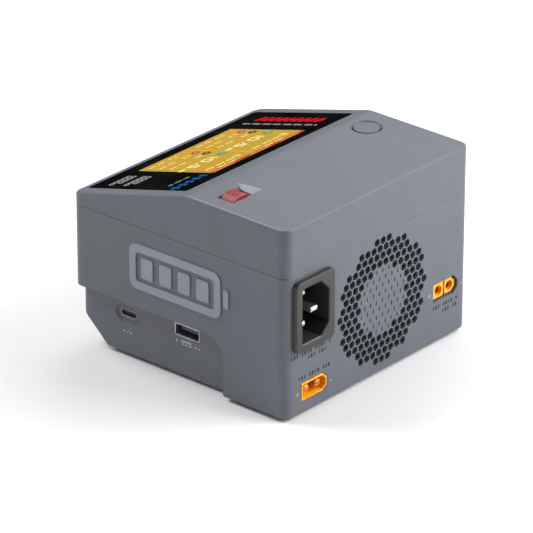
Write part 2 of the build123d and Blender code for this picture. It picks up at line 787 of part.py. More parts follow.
with BuildPart() as wheel_axle:
    with BuildSketch(wheel_plane.offset(cheek_inner + cheek_thickness)):
        with Locations((wheel_x, wheel_z)):
            Circle(axle_radius)
    extrude(amount=-2 * cheek_inner - 2 * cheek_thickness)
finish(wheel_axle, "wheel_axle")

with BuildPart() as wheel_carrier:
    with BuildSketch(Plane.XY.offset(carrier_base_z)):
        with Locations((wheel_x, wheel_y)):
            RectangleRounded(wheel_carrier_length, wheel_carrier_width, 0.8)
    extrude(amount=carrier_base_thickness)
    with BuildSketch(Plane.XY.offset(carrier_base_z)):
        with Locations((wheel_x, wheel_y)):
            with GridLocations(0, 2 * cheek_inner + cheek_thickness, 1, 2):
                Rectangle(cheek_length, cheek_thickness)
    extrude(amount=cheek_top_z - carrier_base_z)
    with BuildSketch(wheel_plane):
        with Locations((wheel_x, wheel_z)):
            Circle(axle_radius + running_fit)
    extrude(amount=wheel_carrier_width, both=True, mode=Mode.SUBTRACT)
finish(wheel_carrier, "wheel_carrier")

with BuildPart() as wheel_encoder:
    with BuildSketch(wheel_plane.offset(-cheek_inner - cheek_thickness - 0.1)):
        with Locations((wheel_x, cheek_top_z - encoder_size / 2 - overlap)):
            RectangleRounded(encoder_size, encoder_size, 1.0)
    extrude(amount=0.1 - encoder_thickness)
finish(wheel_encoder, "wheel_encoder")

# ---------------------------------------------------------------- mains inlet
inlet_body_depth = 17.0
inlet_line_x = inlet_x + 2.5        # line and neutral blades, nearer the +X wall
inlet_earth_x = inlet_x - 1.1
inlet_pole_offset = 7.0             # line and neutral, above and below the middle
inlet_flange_radius = 2.4
inlet_clip_length, inlet_clip_depth, inlet_clip_height = 8.0, 3.0, 1.2
blade_width, blade_thickness = 4.0, 2.0
line_set_back, earth_set_back = 5.2, 1.7    # blade tips below the flange's face
blade_tail = 4.0                    # solder tails behind the housing
line_centres = (
    (inlet_line_x, inlet_z + inlet_pole_offset),
    (inlet_line_x, inlet_z - inlet_pole_offset),
)
earth_centres = ((inlet_earth_x, inlet_z),)
inlet_face = rear_face.offset(-inlet_proud)

with BuildPart() as mains_inlet:
    with BuildSketch(rear_face):
        with Locations((inlet_x, inlet_z)):
            RectangleRounded(inlet_width, inlet_height, inlet_flange_radius)
    extrude(amount=-inlet_proud)
    fillet(faces().sort_by(Axis.Y)[-1].edges(), radius=0.4)
    with BuildSketch(rear_face):
        with Locations((inlet_x, inlet_z)):
            add(inlet_outline(inlet_body_width, inlet_body_height, inlet_recess_cut + 0.6))
    extrude(amount=inlet_body_depth)
    # spring clips that hold the inlet behind the wall
    clip_y = half_depth - wall - gap / 2 - inlet_clip_depth / 2
    with BuildSketch(Plane.YZ.offset(inlet_x - inlet_clip_length / 2)):
        with Locations((clip_y, inlet_z)):
            with GridLocations(0, inlet_body_height + inlet_clip_height / 2, 1, 2):
                Rectangle(inlet_clip_depth, inlet_clip_height)
    extrude(amount=inlet_clip_length)
    with BuildSketch(inlet_face):
        with Locations((inlet_x, inlet_z)):
            add(inlet_outline(inlet_recess_width, inlet_recess_height, inlet_recess_cut))
    extrude(amount=inlet_depth, mode=Mode.SUBTRACT)
    with BuildSketch(inlet_face):
        with Locations(*line_centres, *earth_centres):
            Rectangle(blade_width, blade_thickness)
    extrude(amount=inlet_body_depth + inlet_proud, mode=Mode.SUBTRACT)
    recess_rim = faces().sort_by(Axis.Y)[-1].inner_wires()[0].edges()
    chamfer(recess_rim, length=0.4)
finish(mains_inlet, "mains_inlet")

with BuildPart() as mains_inlet_blades:
    for centres, set_back in ((line_centres, line_set_back), (earth_centres, earth_set_back)):
        with BuildSketch(inlet_face.offset(set_back)):
            with Locations(*centres):
                Rectangle(blade_width, blade_thickness)
        extrude(amount=inlet_body_depth + inlet_proud + blade_tail - set_back)
        tip_edges = edges().group_by(Axis.Y)[-1]
        chamfer(tip_edges, length=0.6)
finish(mains_inlet_blades, "mains_inlet_blades")

# ---------------------------------------------------------------- battery connectors
pole_offset = 3.6           # each pole from the connector's middle
pin_radius = 1.75
contact_radius = 2.25
contact_length = 12.0
connector_depth = 17.0
connector_tail = 3.0
plug_wall = 0.8
plug_recess = 9.5           # depth of the shroud round the pins
pin_set_back = 0.9
pin_nose_radius = 1.1
pin_slit_width, pin_slit_depth = 0.3, 6.5
nose_length = 8.5           # how far the narrow front of a female connector reaches
divider_width, divider_depth = 1.1, 4.5     # slot between the two poles


def facing(plane_y, direction):
    """A plane across Y whose positive extrusion goes in the given Y direction."""
    return Plane(origin=(0, plane_y, 0), x_dir=(1, 0, 0), z_dir=(0, direction, 0))


def pole_places(x, z, direction):
    """The two poles of a connector, in the local frame of its facing plane."""
    height = -z if direction > 0 else z
    return (x - pole_offset, height), (x + pole_offset, height)


def connector_place(x, z, direction):
    """The middle of a connector, in the local frame of its facing plane."""
    return (x, -z if direction > 0 else z)


def plug_with_pins(name, x, z, face_y, direction):
    """A shrouded male connector; direction is the way into the case along Y."""
    face = facing(face_y, direction)
    with BuildPart() as housing:
        with BuildSketch(face):
            with Locations(connector_place(x, z, direction)):
                add(connector_outline(plug_shrink))
        extrude(amount=connector_depth)
        with BuildSketch(face):
            with Locations(connector_place(x, z, direction)):
                add(connector_outline(plug_shrink + plug_wall))
        extrude(amount=plug_recess, mode=Mode.SUBTRACT)
        with BuildSketch(face):
            with Locations(*pole_places(x, z, direction)):
                Circle(pin_radius)
        extrude(amount=connector_depth, mode=Mode.SUBTRACT)
        fillet(faces().filter_by(Axis.Y).sort_by(Axis.Y)[-1].outer_wire().edges(), radius=0.3)
    finish(housing, name)
    with BuildPart() as pins:
        with BuildSketch(facing(face_y + pin_set_back * direction, direction)):
            with Locations(*pole_places(x, z, direction)):
                Circle(pin_radius)
        extrude(amount=connector_depth + connector_tail - pin_set_back)
        fillet(faces().filter_by(Axis.Y).sort_by(Axis.Y)[-2:].edges(), radius=pin_nose_radius)
        # crossed slits that let each pin spring
        with BuildSketch(facing(face_y + pin_set_back * direction, direction)):
            with Locations(*pole_places(x, z, direction)):
                Rectangle(2 * pin_radius + overlap, pin_slit_width)
                Rectangle(pin_slit_width, 2 * pin_radius + overlap)
        extrude(amount=pin_slit_depth, mode=Mode.SUBTRACT)
    finish(pins, name + "_pins")


def battery_socket(name, x, z, face_y, direction):
    """The housing of a female connector; direction points into the case along Y."""
    face = facing(face_y, direction)
    shoulder = facing(face_y + nose_length * direction, direction)
    with BuildPart() as housing:
        with BuildSketch(face):
            with Locations(connector_place(x, z, direction)):
                add(connector_outline(socket_nose_shrink))
        extrude(amount=nose_length)
        with BuildSketch(shoulder):
            with Locations(connector_place(x, z, direction)):
                add(connector_outline())
        extrude(amount=connector_depth - nose_length)
        end_faces = faces().filter_by(Axis.Y).sort_by(Axis.Y)
        fillet((end_faces[0] if direction > 0 else end_faces[-1]).edges(), radius=0.35)
        with BuildSketch(face):
            with Locations(*pole_places(x, z, direction)):
                Circle(contact_radius)
        extrude(amount=connector_depth, mode=Mode.SUBTRACT)
        with BuildSketch(face):
            with Locations(connector_place(x, z, direction)):
                Rectangle(divider_width, connector_height)
        extrude(amount=divider_depth, mode=Mode.SUBTRACT)
    finish(housing, name)


plug_with_pins("dc_input_plug", dc_in_x, dc_in_z, half_depth + 0.2, -1)

sockets = (
    ("dc_output_socket", dc_out_x, dc_out_z, half_depth - 0.9, -1),
    ("channel_1_socket", -output_x, front_port_z, step_front_y - 2.0, 1),
    ("channel_2_socket", output_x, front_port_z, step_front_y - 2.0, 1),
)
for socket in sockets:
    battery_socket(*socket)

contact_set_back = 1.2
with BuildPart() as socket_contacts:
    # a gold tube for each pole of the three sockets, set back from the housing's face
    for _, x, z, face_y, direction in sockets:
        tube_face = facing(face_y + contact_set_back * direction, direction)
        with BuildSketch(tube_face):
            with Locations(*pole_places(x, z, direction)):
                Circle(contact_radius)
        extrude(amount=connector_depth + connector_tail - contact_set_back)
        with BuildSketch(tube_face):
            with Locations(*pole_places(x, z, direction)):
                Circle(pin_radius)
        extrude(amount=contact_length, mode=Mode.SUBTRACT)
finish(socket_contacts, "socket_contacts")

balance_depth = 11.0
balance_wall = 0.8
balance_recess = 7.0        # depth of the housing round the pins
balance_key_x, balance_key_width, balance_key_height = 6.0, 1.6, 2.4
balance_pin = 0.64
balance_pin_set_back = 1.3
balance_pitch = 2.5
balance_pin_count = 7
balance_face_y = step_front_y - 0.5


def balance_header(name, x):
    """A seven-pin balance header facing the user, with its keyed open housing."""
    place = connector_place(x, front_port_z, 1)
    face = facing(balance_face_y, 1)
    with BuildPart() as housing:
        with BuildSketch(face):
            with Locations(place):
                Rectangle(balance_width, balance_height)
        extrude(amount=balance_depth)
        with BuildSketch(face):
            with Locations(place):
                Rectangle(balance_width - 2 * balance_wall, balance_height - 2 * balance_wall)
        extrude(amount=balance_recess, mode=Mode.SUBTRACT)
        # two key slots in the lower wall
        with BuildSketch(face):
            with Locations((x, place[1] + balance_height / 2)):
                with GridLocations(2 * balance_key_x, 0, 2, 1):
                    Rectangle(balance_key_width, balance_key_height)
        extrude(amount=balance_recess, mode=Mode.SUBTRACT)
        with BuildSketch(face):
            with Locations(place):
                with GridLocations(balance_pitch, 0, balance_pin_count, 1):
                    Rectangle(balance_pin, balance_pin)
        extrude(amount=balance_depth, mode=Mode.SUBTRACT)
    finish(housing, name)


balance_header("channel_1_balance_header", -balance_x)
balance_header("channel_2_balance_header", balance_x)

with BuildPart() as balance_pins:
    with BuildSketch(facing(balance_face_y + balance_pin_set_back, 1)):
        with Locations(
            connector_place(-balance_x, front_port_z, 1),
            connector_place(balance_x, front_port_z, 1),
        ):
            with GridLocations(balance_pitch, 0, balance_pin_count, 1):
                Rectangle(balance_pin, balance_pin)
    extrude(amount=balance_depth + gap)
finish(balance_pins, "balance_pins")

# ---------------------------------------------------------------- USB ports
usb_a_depth, usb_a_sheet = 13.6, 0.4
usb_a_back = 1.0            # closed end of the shell, behind the tongue
usb_a_tongue_width, usb_a_tongue_height, usb_a_tongue_length = 11.2, 1.9, 10.2
usb_a_tongue_drop = 0.2     # the tongue sits below the port's middle
usb_c_depth, usb_c_sheet = 7.3, 0.18
usb_c_back = 0.8
usb_c_tongue_width, usb_c_tongue_height, usb_c_tongue_length = 6.7, 0.75, 5.9
usb_proud = 0.15
usb_a_face = port_face.offset(usb_proud)
usb_c_face = port_face.offset(usb_proud - usb_pocket_depth)

with BuildPart() as usb_a_shell:
    with BuildSketch(usb_a_face):
        with Locations((usb_a_y, usb_a_z)):
            RectangleRounded(usb_a_width, usb_a_height, 0.5)
    extrude(amount=-usb_a_depth)
    with BuildSketch(usb_a_face):
        with Locations((usb_a_y, usb_a_z)):
            Rectangle(usb_a_width - 2 * usb_a_sheet, usb_a_height - 2 * usb_a_sheet)
    extrude(amount=usb_a_back - usb_a_depth, mode=Mode.SUBTRACT)
finish(usb_a_shell, "usb_a_shell")

with BuildPart() as usb_a_tongue:
    with BuildSketch(usb_a_face.offset(usb_a_back - usb_a_depth)):
        with Locations((usb_a_y, usb_a_z - usb_a_tongue_drop)):
            Rectangle(usb_a_tongue_width, usb_a_tongue_height)
    extrude(amount=usb_a_tongue_length)
    chamfer(faces().sort_by(Axis.X)[-1].edges(), length=0.3)
finish(usb_a_tongue, "usb_a_tongue")

with BuildPart() as usb_c_shell:
    with BuildSketch(usb_c_face):
        with Locations((usb_c_y, usb_c_z)):
            SlotOverall(usb_c_width, usb_c_height)
    extrude(amount=-usb_c_depth)
    with BuildSketch(usb_c_face):
        with Locations((usb_c_y, usb_c_z)):
            SlotOverall(usb_c_width - 2 * usb_c_sheet, usb_c_height - 2 * usb_c_sheet)
    extrude(amount=usb_c_back - usb_c_depth, mode=Mode.SUBTRACT)
finish(usb_c_shell, "usb_c_shell")

with BuildPart() as usb_c_tongue:
    with BuildSketch(usb_c_face.offset(usb_c_back - usb_c_depth)):
        with Locations((usb_c_y, usb_c_z)):
            SlotOverall(usb_c_tongue_width, usb_c_tongue_height)
    extrude(amount=usb_c_tongue_length)
finish(usb_c_tongue, "usb_c_tongue")

# ---------------------------------------------------------------- cooling fan
fan_back_y = half_depth - wall - 0.1            # the fan's outlet face, by the grille
fan_front_y = fan_back_y - fan_depth
fan_plane = facing(fan_front_y, 1)              # extrudes towards the grille
fan_place = connector_place(fan_x, fan_z, 1)
fan_duct_radius = 28.3
rotor_hub_radius = 13.0
rotor_tip_radius = 27.5
rotor_depth = 11.0
rotor_front_gap = 0.8
rotor_cup_wall = 1.2
blade_count = 7
fan_shaft_radius = 1.5
bearing_outer_radius = 4.0
bearing_length = 8.0
fan_strut_thickness, fan_strut_width = 2.2, 3.0
fan_flange = 4.0            # thickness of each of the two square flanges
bearing_cup_wall = 1.2
rotor_blade_thickness = 1.2
rotor_root_angle, rotor_tip_angle = 42.0, 28.0
stator_back_gap, stator_depth = 1.2, 6.0
stator_pole_width, stator_shoe_width = 2.4, 6.0
fan_screw_head_radius, fan_screw_head_height = 3.6, 2.2

with BuildPart() as fan_frame:
    with BuildSketch(fan_plane):
        with Locations(fan_place):
            RectangleRounded(fan_size, fan_size, 3.0)
            Circle(fan_duct_radius, mode=Mode.SUBTRACT)
            with GridLocations(fan_hole_spacing, fan_hole_spacing, 2, 2):
                Circle(fan_screw_radius + gap, mode=Mode.SUBTRACT)
    extrude(amount=fan_depth)
    # corner posts are waisted between the two mounting flanges
    with BuildSketch(fan_plane.offset(fan_flange)):
        with Locations(fan_place):
            Rectangle(fan_size + overlap, fan_size + overlap)
            Circle(fan_duct_radius + 1.5, mode=Mode.SUBTRACT)
            with GridLocations(fan_size - 17, fan_size - 17, 2, 2):
                Circle(7.0, mode=Mode.SUBTRACT)
    extrude(amount=fan_depth - 2 * fan_flange, mode=Mode.SUBTRACT)
    # four struts and the cup that carries the motor
    with BuildSketch(fan_plane):
        with Locations(fan_place):
            Circle(rotor_hub_radius)
            with PolarLocations(0, 4, start_angle=45):
                Rectangle(fan_duct_radius + overlap, fan_strut_width, align=(Align.MIN, Align.CENTER))
    extrude(amount=fan_strut_thickness)
    with BuildSketch(fan_plane):
        with Locations(fan_place):
            Circle(bearing_outer_radius + bearing_cup_wall)
    extrude(amount=fan_strut_thickness + bearing_length)
    with BuildSketch(fan_plane.offset(fan_strut_thickness)):
        with Locations(fan_place):
            Circle(bearing_outer_radius)
    extrude(amount=bearing_length, mode=Mode.SUBTRACT)
finish(fan_frame, "fan_frame")

# one blade, standing on the hub of a rotor whose axis is Z and whose front is at z = 0
with BuildPart() as blade:
    for reach, angle in (
        (rotor_hub_radius - 0.6, rotor_root_angle),
        (rotor_tip_radius + 0.8, rotor_tip_angle),
    ):
        with BuildSketch(Plane(origin=(reach, 0, rotor_depth / 2), x_dir=(0, 1, 0), z_dir=(1, 0, 0))):
            chord = (rotor_depth - 1.6) / sin(radians(angle))
            SlotOverall(chord, rotor_blade_thickness, rotation=angle)
    loft(ruled=True)

with BuildPart() as rotor_form:
    Cylinder(rotor_tip_radius, rotor_depth, align=(Align.CENTER, Align.CENTER, Align.MIN))
    Cylinder(
        rotor_hub_radius - 0.4,
        rotor_depth,
        align=(Align.CENTER, Align.CENTER, Align.MIN),
        mode=Mode.SUBTRACT,
    )

with BuildPart() as rotor_blades:
    with PolarLocations(0, blade_count):
        add(blade.part)
    add(rotor_form.part, mode=Mode.INTERSECT)

rotor_place = Location(Plane(
    origin=(fan_x, fan_front_y + fan_strut_thickness + rotor_front_gap, fan_z),
    x_dir=(1, 0, 0),
    z_dir=(0, 1, 0),
))
with BuildPart() as fan_rotor:
    add(rotor_blades.part)
    # hub cup, open towards the motor
    Cylinder(rotor_hub_radius, rotor_depth, align=(Align.CENTER, Align.CENTER, Align.MIN))
    fillet(edges().filter_by(GeomType.CIRCLE).sort_by(Axis.Z)[-1], radius=0.8)
    Cylinder(
        rotor_hub_radius - rotor_cup_wall,
        rotor_depth - rotor_cup_wall,
        align=(Align.CENTER, Align.CENTER, Align.MIN),
        mode=Mode.SUBTRACT,
    )
    Cylinder(fan_shaft_radius, 3 * rotor_depth, mode=Mode.SUBTRACT)
fan_rotor.part = rotor_place * fan_rotor.part
finish(fan_rotor, "fan_rotor")

shaft_low_y = fan_front_y + fan_strut_thickness + 0.3
shaft_high_y = fan_front_y + fan_strut_thickness + rotor_front_gap + rotor_depth
with BuildPart() as fan_shaft:
    with BuildSketch(facing(shaft_low_y, 1)):
        with Locations(fan_place):
            Circle(fan_shaft_radius)
    extrude(amount=shaft_high_y - shaft_low_y)
finish(fan_shaft, "fan_shaft")

with BuildPart() as fan_bearing:
    with BuildSketch(fan_plane.offset(fan_strut_thickness)):
        with Locations(fan_place):
            Circle(bearing_outer_radius)
            Circle(fan_shaft_radius + running_fit, mode=Mode.SUBTRACT)
    extrude(amount=bearing_length)
finish(fan_bearing, "fan_bearing")

stator_inner = bearing_outer_radius + bearing_cup_wall + 0.05
stator_outer = rotor_hub_radius - rotor_cup_wall - 0.8
with BuildPart() as fan_stator:
    # four poles with wide shoes round the bearing's cup
    with BuildSketch(fan_plane.offset(fan_strut_thickness + stator_back_gap)):
        with Locations(fan_place):
            Circle(stator_inner + 1.2)
            with PolarLocations(0, 4):
                Rectangle(stator_outer - 0.6, stator_pole_width, align=(Align.MIN, Align.CENTER))
            Circle(stator_inner, mode=Mode.SUBTRACT)
            with PolarLocations(stator_outer - 1.0, 4):
                Rectangle(1.6, stator_shoe_width)
    extrude(amount=stator_depth)
finish(fan_stator, "fan_stator")

with BuildPart() as fan_screws:
    with BuildSketch(fan_plane):
        with Locations(fan_place):
            with GridLocations(fan_hole_spacing, fan_hole_spacing, 2, 2):
                Circle(fan_screw_head_radius)
    extrude(amount=-fan_screw_head_height)
    fillet(faces().sort_by(Axis.Y)[:4].edges(), radius=0.8)
    with BuildSketch(fan_plane):
        with Locations(fan_place):
            with GridLocations(fan_hole_spacing, fan_hole_spacing, 2, 2):
                Circle(fan_screw_radius)
    extrude(amount=fan_depth + fan_screw_bite)
finish(fan_screws, "fan_screws")

# ---------------------------------------------------------------- circuit boards
main_board_top_z = main_board_z + board_thickness
power_board_top_z = power_board_z + board_thickness
board_width = 103.0
main_board_front_y = -41.0
board_back_y = 37.0
power_board_front_y = -50.0
column_clearance = 0.6
sheet_width, sheet_length, sheet_thickness, sheet_drop = 82.0, 76.0, 0.4, 1.4
board_screw_head_radius, board_screw_head_height = 2.8, 2.0


def circuit_board(name, bottom_z, front_y):
    """A bare board with holes for the screw columns and for its own screws."""
    with BuildPart() as board:
        with BuildSketch(Plane.XY.offset(bottom_z)):
            with Locations((0, (front_y + board_back_y) / 2)):
                RectangleRounded(board_width, board_back_y - front_y, 1.5)
            with Locations(*column_centres):
                Circle(column_radius + column_clearance, mode=Mode.SUBTRACT)
            with Locations(*spacer_centres):
                Circle(board_screw_radius, mode=Mode.SUBTRACT)
        extrude(amount=board_thickness)
    finish(board, name)


circuit_board("main_board", main_board_z, main_board_front_y)
circuit_board("power_board", power_board_z, power_board_front_y)

with BuildPart() as insulating_sheet:
    with BuildSketch(Plane.XY.offset(power_board_z - sheet_drop)):
        with Locations((0, column_centre_y)):
            Rectangle(sheet_width, sheet_length)
        with Locations(*spacer_centres):
            Circle(spacer_radius + column_clearance, mode=Mode.SUBTRACT)
    extrude(amount=sheet_thickness)
finish(insulating_sheet, "insulating_sheet")

with BuildPart() as board_spacers:
    with BuildSketch(Plane.XY.offset(main_board_top_z)):
        with Locations(*spacer_centres):
            RegularPolygon(spacer_radius, 6)
            Circle(board_screw_radius, mode=Mode.SUBTRACT)
    extrude(amount=power_board_z - main_board_top_z)
finish(board_spacers, "board_spacers")

with BuildPart() as board_screws:
    with BuildSketch(Plane.XY.offset(power_board_top_z)):
        with Locations(*spacer_centres):
            Circle(board_screw_head_radius)
    extrude(amount=board_screw_head_height)
    fillet(faces().sort_by(Axis.Z)[-4:].edges(), radius=0.7)
    with BuildSketch(Plane.XY.offset(power_board_top_z)):
        with Locations(*spacer_centres):
            Circle(board_screw_radius)
    extrude(amount=-power_board_top_z + base_z + 2 * wall)
finish(board_screws, "board_screws")

# ---------------------------------------------------------------- main board's parts
heatsink_width, heatsink_length = 54.0, 32.0
heatsink_base = 3.0
heatsink_height = 16.0
fin_count = 11
fin_thickness = 1.4
transistor_width, transistor_length, transistor_height = 5.2, 6.2, 1.6
transistor_pitch_x, transistor_pitch_y = 12.0, 16.0
inductor_size, inductor_height, inductor_y = 14.0, 9.0, -30.0
filter_capacitor_radius, filter_capacitor_height = 4.0, 14.0
filter_capacitor_x, filter_capacitor_y, filter_capacitor_pitch = -42.0, -5.5, 11.0
chip_place, chip_size, chip_height = (20.0, 27.0), 10.0, 1.4
buzzer_place, buzzer_radius, buzzer_height = (-20.0, 27.0), 6.0, 8.5
buzzer_port_radius, buzzer_port_depth = 1.2, 1.5

with BuildPart() as power_transistors:
    with BuildSketch(Plane.XY.offset(main_board_top_z)):
        with GridLocations(transistor_pitch_x, transistor_pitch_y, 4, 2):
            Rectangle(transistor_width, transistor_length)
    extrude(amount=transistor_height)
finish(power_transistors, "power_transistors")

with BuildPart() as main_heatsink:
    with BuildSketch(Plane.XY.offset(main_board_top_z + transistor_height)):
        Rectangle(heatsink_width, heatsink_length)
    extrude(amount=heatsink_base)
    with BuildSketch(Plane.XY.offset(main_board_top_z + transistor_height + heatsink_base)):
        with GridLocations((heatsink_width - fin_thickness) / (fin_count - 1), 0, fin_count, 1):
            Rectangle(fin_thickness, heatsink_length)
    extrude(amount=heatsink_height - heatsink_base)
finish(main_heatsink, "main_heatsink")

with BuildPart() as output_inductors:
    with BuildSketch(Plane.XY.offset(main_board_top_z)):
        with Locations((-output_x, inductor_y), (output_x, inductor_y)):
            RectangleRounded(inductor_size, inductor_size, 1.5)
    extrude(amount=inductor_height)
    chamfer(faces().sort_by(Axis.Z)[-2:].edges(), length=0.8)
finish(output_inductors, "output_inductors")

with BuildPart() as filter_capacitors:
    with BuildSketch(Plane.XY.offset(main_board_top_z)):
        with Locations((filter_capacitor_x, filter_capacitor_y)):
            with GridLocations(0, filter_capacitor_pitch, 1, 4):
                Circle(filter_capacitor_radius)
    extrude(amount=filter_capacitor_height)
    fillet(faces().sort_by(Axis.Z)[-4:].edges(), radius=0.6)
finish(filter_capacitors, "filter_capacitors")

with BuildPart() as controller_chip:
    with BuildSketch(Plane.XY.offset(main_board_top_z)):
        with Locations(chip_place):
            Rectangle(chip_size, chip_size)
    extrude(amount=chip_height)
finish(controller_chip, "controller_chip")

with BuildPart() as buzzer:
    with BuildSketch(Plane.XY.offset(main_board_top_z)):
        with Locations(buzzer_place):
            Circle(buzzer_radius)
    extrude(amount=buzzer_height)
    with BuildSketch(Plane.XY.offset(main_board_top_z + buzzer_height)):
        with Locations(buzzer_place):
            Circle(buzzer_port_radius)
    extrude(amount=-buzzer_port_depth, mode=Mode.SUBTRACT)
finish(buzzer, "buzzer")

# ---------------------------------------------------------------- power board's parts
transformer_x, transformer_y = 2.0, -6.0
core_width, core_length, core_height = 30.0, 16.0, 20.0
core_leg = 5.0

with BuildPart() as transformer_core:
    with BuildSketch(Plane.XZ.offset(-transformer_y - core_length / 2)):
        with Locations((transformer_x, power_board_top_z + core_height / 2)):
            Rectangle(core_width, core_height)
            with Locations((-core_width / 4, 0), (core_width / 4, 0)):
                Rectangle(core_width / 2 - 1.5 * core_leg, core_height - 2 * core_leg, mode=Mode.SUBTRACT)
    extrude(amount=core_length)
finish(transformer_core, "transformer_core")

winding_gap = 0.15
winding_overhang = 9.0      # how far the winding stands out of the core, both sides together
winding_leg_x = core_leg + winding_gap          # from the middle to the inside of the winding
winding_outer_x = core_width / 2 - core_leg - winding_gap
with BuildPart() as transformer_winding:
    with BuildSketch(Plane.XY.offset(power_board_top_z + core_leg + winding_gap)):
        with Locations((transformer_x, transformer_y)):
            RectangleRounded(2 * winding_outer_x, core_length + winding_overhang, 3)
            RectangleRounded(2 * winding_leg_x + 0.1, core_length + 1.0, 0.4, mode=Mode.SUBTRACT)
    extrude(amount=core_height - 2 * core_leg - 2 * winding_gap)
finish(transformer_winding, "transformer_winding")

bulk_capacitor_radius, bulk_capacitor_height = 8.0, 20.0
bulk_capacitor_x, bulk_capacitor_y, bulk_capacitor_pitch = -38.0, -3.0, 18.0
with BuildPart() as bulk_capacitors:
    with BuildSketch(Plane.XY.offset(power_board_top_z)):
        with Locations((bulk_capacitor_x, bulk_capacitor_y)):
            with GridLocations(0, bulk_capacitor_pitch, 1, 2):
                Circle(bulk_capacitor_radius)
    extrude(amount=bulk_capacitor_height)
    fillet(faces().sort_by(Axis.Z)[-2:].edges(), radius=0.8)
finish(bulk_capacitors, "bulk_capacitors")

choke_x, choke_y, choke_z = 22.0, 22.0, power_board_top_z + 4.2
choke_ring_radius = 7.5
choke_core_width, choke_core_height = 4.0, 5.0
choke_winding_width, choke_winding_height = 6.6, 7.6
choke_fit = 0.3             # room between the core and its windings, both sides together
choke_winding_arc = 130
with BuildPart() as choke_core:
    with BuildSketch(Plane.XZ):
        with Locations((choke_ring_radius, 0)):
            RectangleRounded(choke_core_width, choke_core_height, 0.8)
    revolve(axis=Axis.Z)
choke_core.part = Pos(choke_x, choke_y, choke_z) * choke_core.part
finish(choke_core, "choke_core")

with BuildPart() as choke_windings:
    for start in (-choke_winding_arc / 2, 180 - choke_winding_arc / 2):
        with BuildSketch(Plane.XZ.rotated((0, 0, start))):
            with Locations((choke_ring_radius, 0)):
                RectangleRounded(choke_winding_width, choke_winding_height, 2.0)
                RectangleRounded(
                    choke_core_width + choke_fit, choke_core_height + choke_fit, 0.9, mode=Mode.SUBTRACT
                )
        revolve(axis=Axis.Z, revolution_arc=choke_winding_arc)
choke_windings.part = Pos(choke_x, choke_y, choke_z) * choke_windings.part
finish(choke_windings, "choke_windings")

plate_x, plate_y, plate_thickness, plate_height = 5.0, -33.0, 3.0, 18.0
plate_fin_count, plate_fin_pitch, plate_fin_length = 9, 6.0, 6.0
rectifier_x, rectifier_width, rectifier_thickness, rectifier_height = 20.0, 20.0, 4.0, 15.0
rectifier_leg, rectifier_leg_height, rectifier_leg_pitch = 0.8, 1.0, 5.0
rectifier_y = plate_y - (plate_thickness + rectifier_thickness) / 2 - 0.1
fuse_x, fuse_y, fuse_radius, fuse_length = 40.0, -19.0, 2.6, 10.0

with BuildPart() as power_heatsink:
    with BuildSketch(Plane.XY.offset(power_board_top_z)):
        with Locations((plate_x, plate_y)):
            Rectangle(heatsink_width, plate_thickness)
            with Locations((0, (plate_thickness + plate_fin_length) / 2 - 0.5)):
                with GridLocations(plate_fin_pitch, 0, plate_fin_count, 1):
                    Rectangle(fin_thickness, plate_fin_length)
    extrude(amount=plate_height)
finish(power_heatsink, "power_heatsink")

with BuildPart() as bridge_rectifier:
    with BuildSketch(Plane.XY.offset(power_board_top_z + rectifier_leg_height)):
        with Locations((rectifier_x, rectifier_y)):
            Rectangle(rectifier_width, rectifier_thickness)
    extrude(amount=rectifier_height)
    with BuildSketch(Plane.XY.offset(power_board_top_z)):
        with Locations((rectifier_x, rectifier_y)):
            with GridLocations(rectifier_leg_pitch, 0, 4, 1):
                Rectangle(rectifier_leg, rectifier_leg)
    extrude(amount=rectifier_leg_height)
finish(bridge_rectifier, "bridge_rectifier")

with BuildPart() as fuse:
    with BuildSketch(Plane.XZ.offset(-fuse_y - fuse_length / 2)):
        with Locations((fuse_x, power_board_top_z + fuse_radius + 0.8)):
            Circle(fuse_radius)
    extrude(amount=fuse_length)
finish(fuse, "fuse")

# ---------------------------------------------------------------- fasteners and feet
case_screw_length = 14.0
screw_head_height = 2.2
screw_cross_length, screw_cross_width, screw_cross_depth = 3.2, 0.7, 1.2
screw_seat_z = column_joint_z - screw_shelf
with BuildPart() as case_screws:
    with BuildSketch(Plane.XY.offset(screw_seat_z)):
        with Locations(*column_centres):
            Circle(screw_head_radius - gap)
    extrude(amount=-screw_head_height)
    fillet(faces().sort_by(Axis.Z)[:4].edges(), radius=0.6)
    with BuildSketch(Plane.XY.offset(screw_seat_z)):
        with Locations(*column_centres):
            Circle(screw_shank_radius)
    extrude(amount=case_screw_length)
    # cross recess in each head
    with BuildSketch(Plane.XY.offset(screw_seat_z - screw_head_height)):
        with Locations(*column_centres):
            Rectangle(screw_cross_length, screw_cross_width)
            Rectangle(screw_cross_width, screw_cross_length)
    extrude(amount=screw_cross_depth, mode=Mode.SUBTRACT)
finish(case_screws, "case_screws")

foot_radius = 5.0
foot_places = ((-37, -33), (37, -33), (-44, 47), (44, 47))
with BuildPart() as rubber_feet:
    with BuildSketch(Plane.XY):
        with Locations(*foot_places):
            Circle(foot_radius)
    extrude(amount=foot_height)
    chamfer(faces().sort_by(Axis.Z)[:4].edges(), length=0.4)
finish(rubber_feet, "rubber_feet")
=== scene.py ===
import math

import bmesh
import bpy
from mathutils import Matrix, Vector


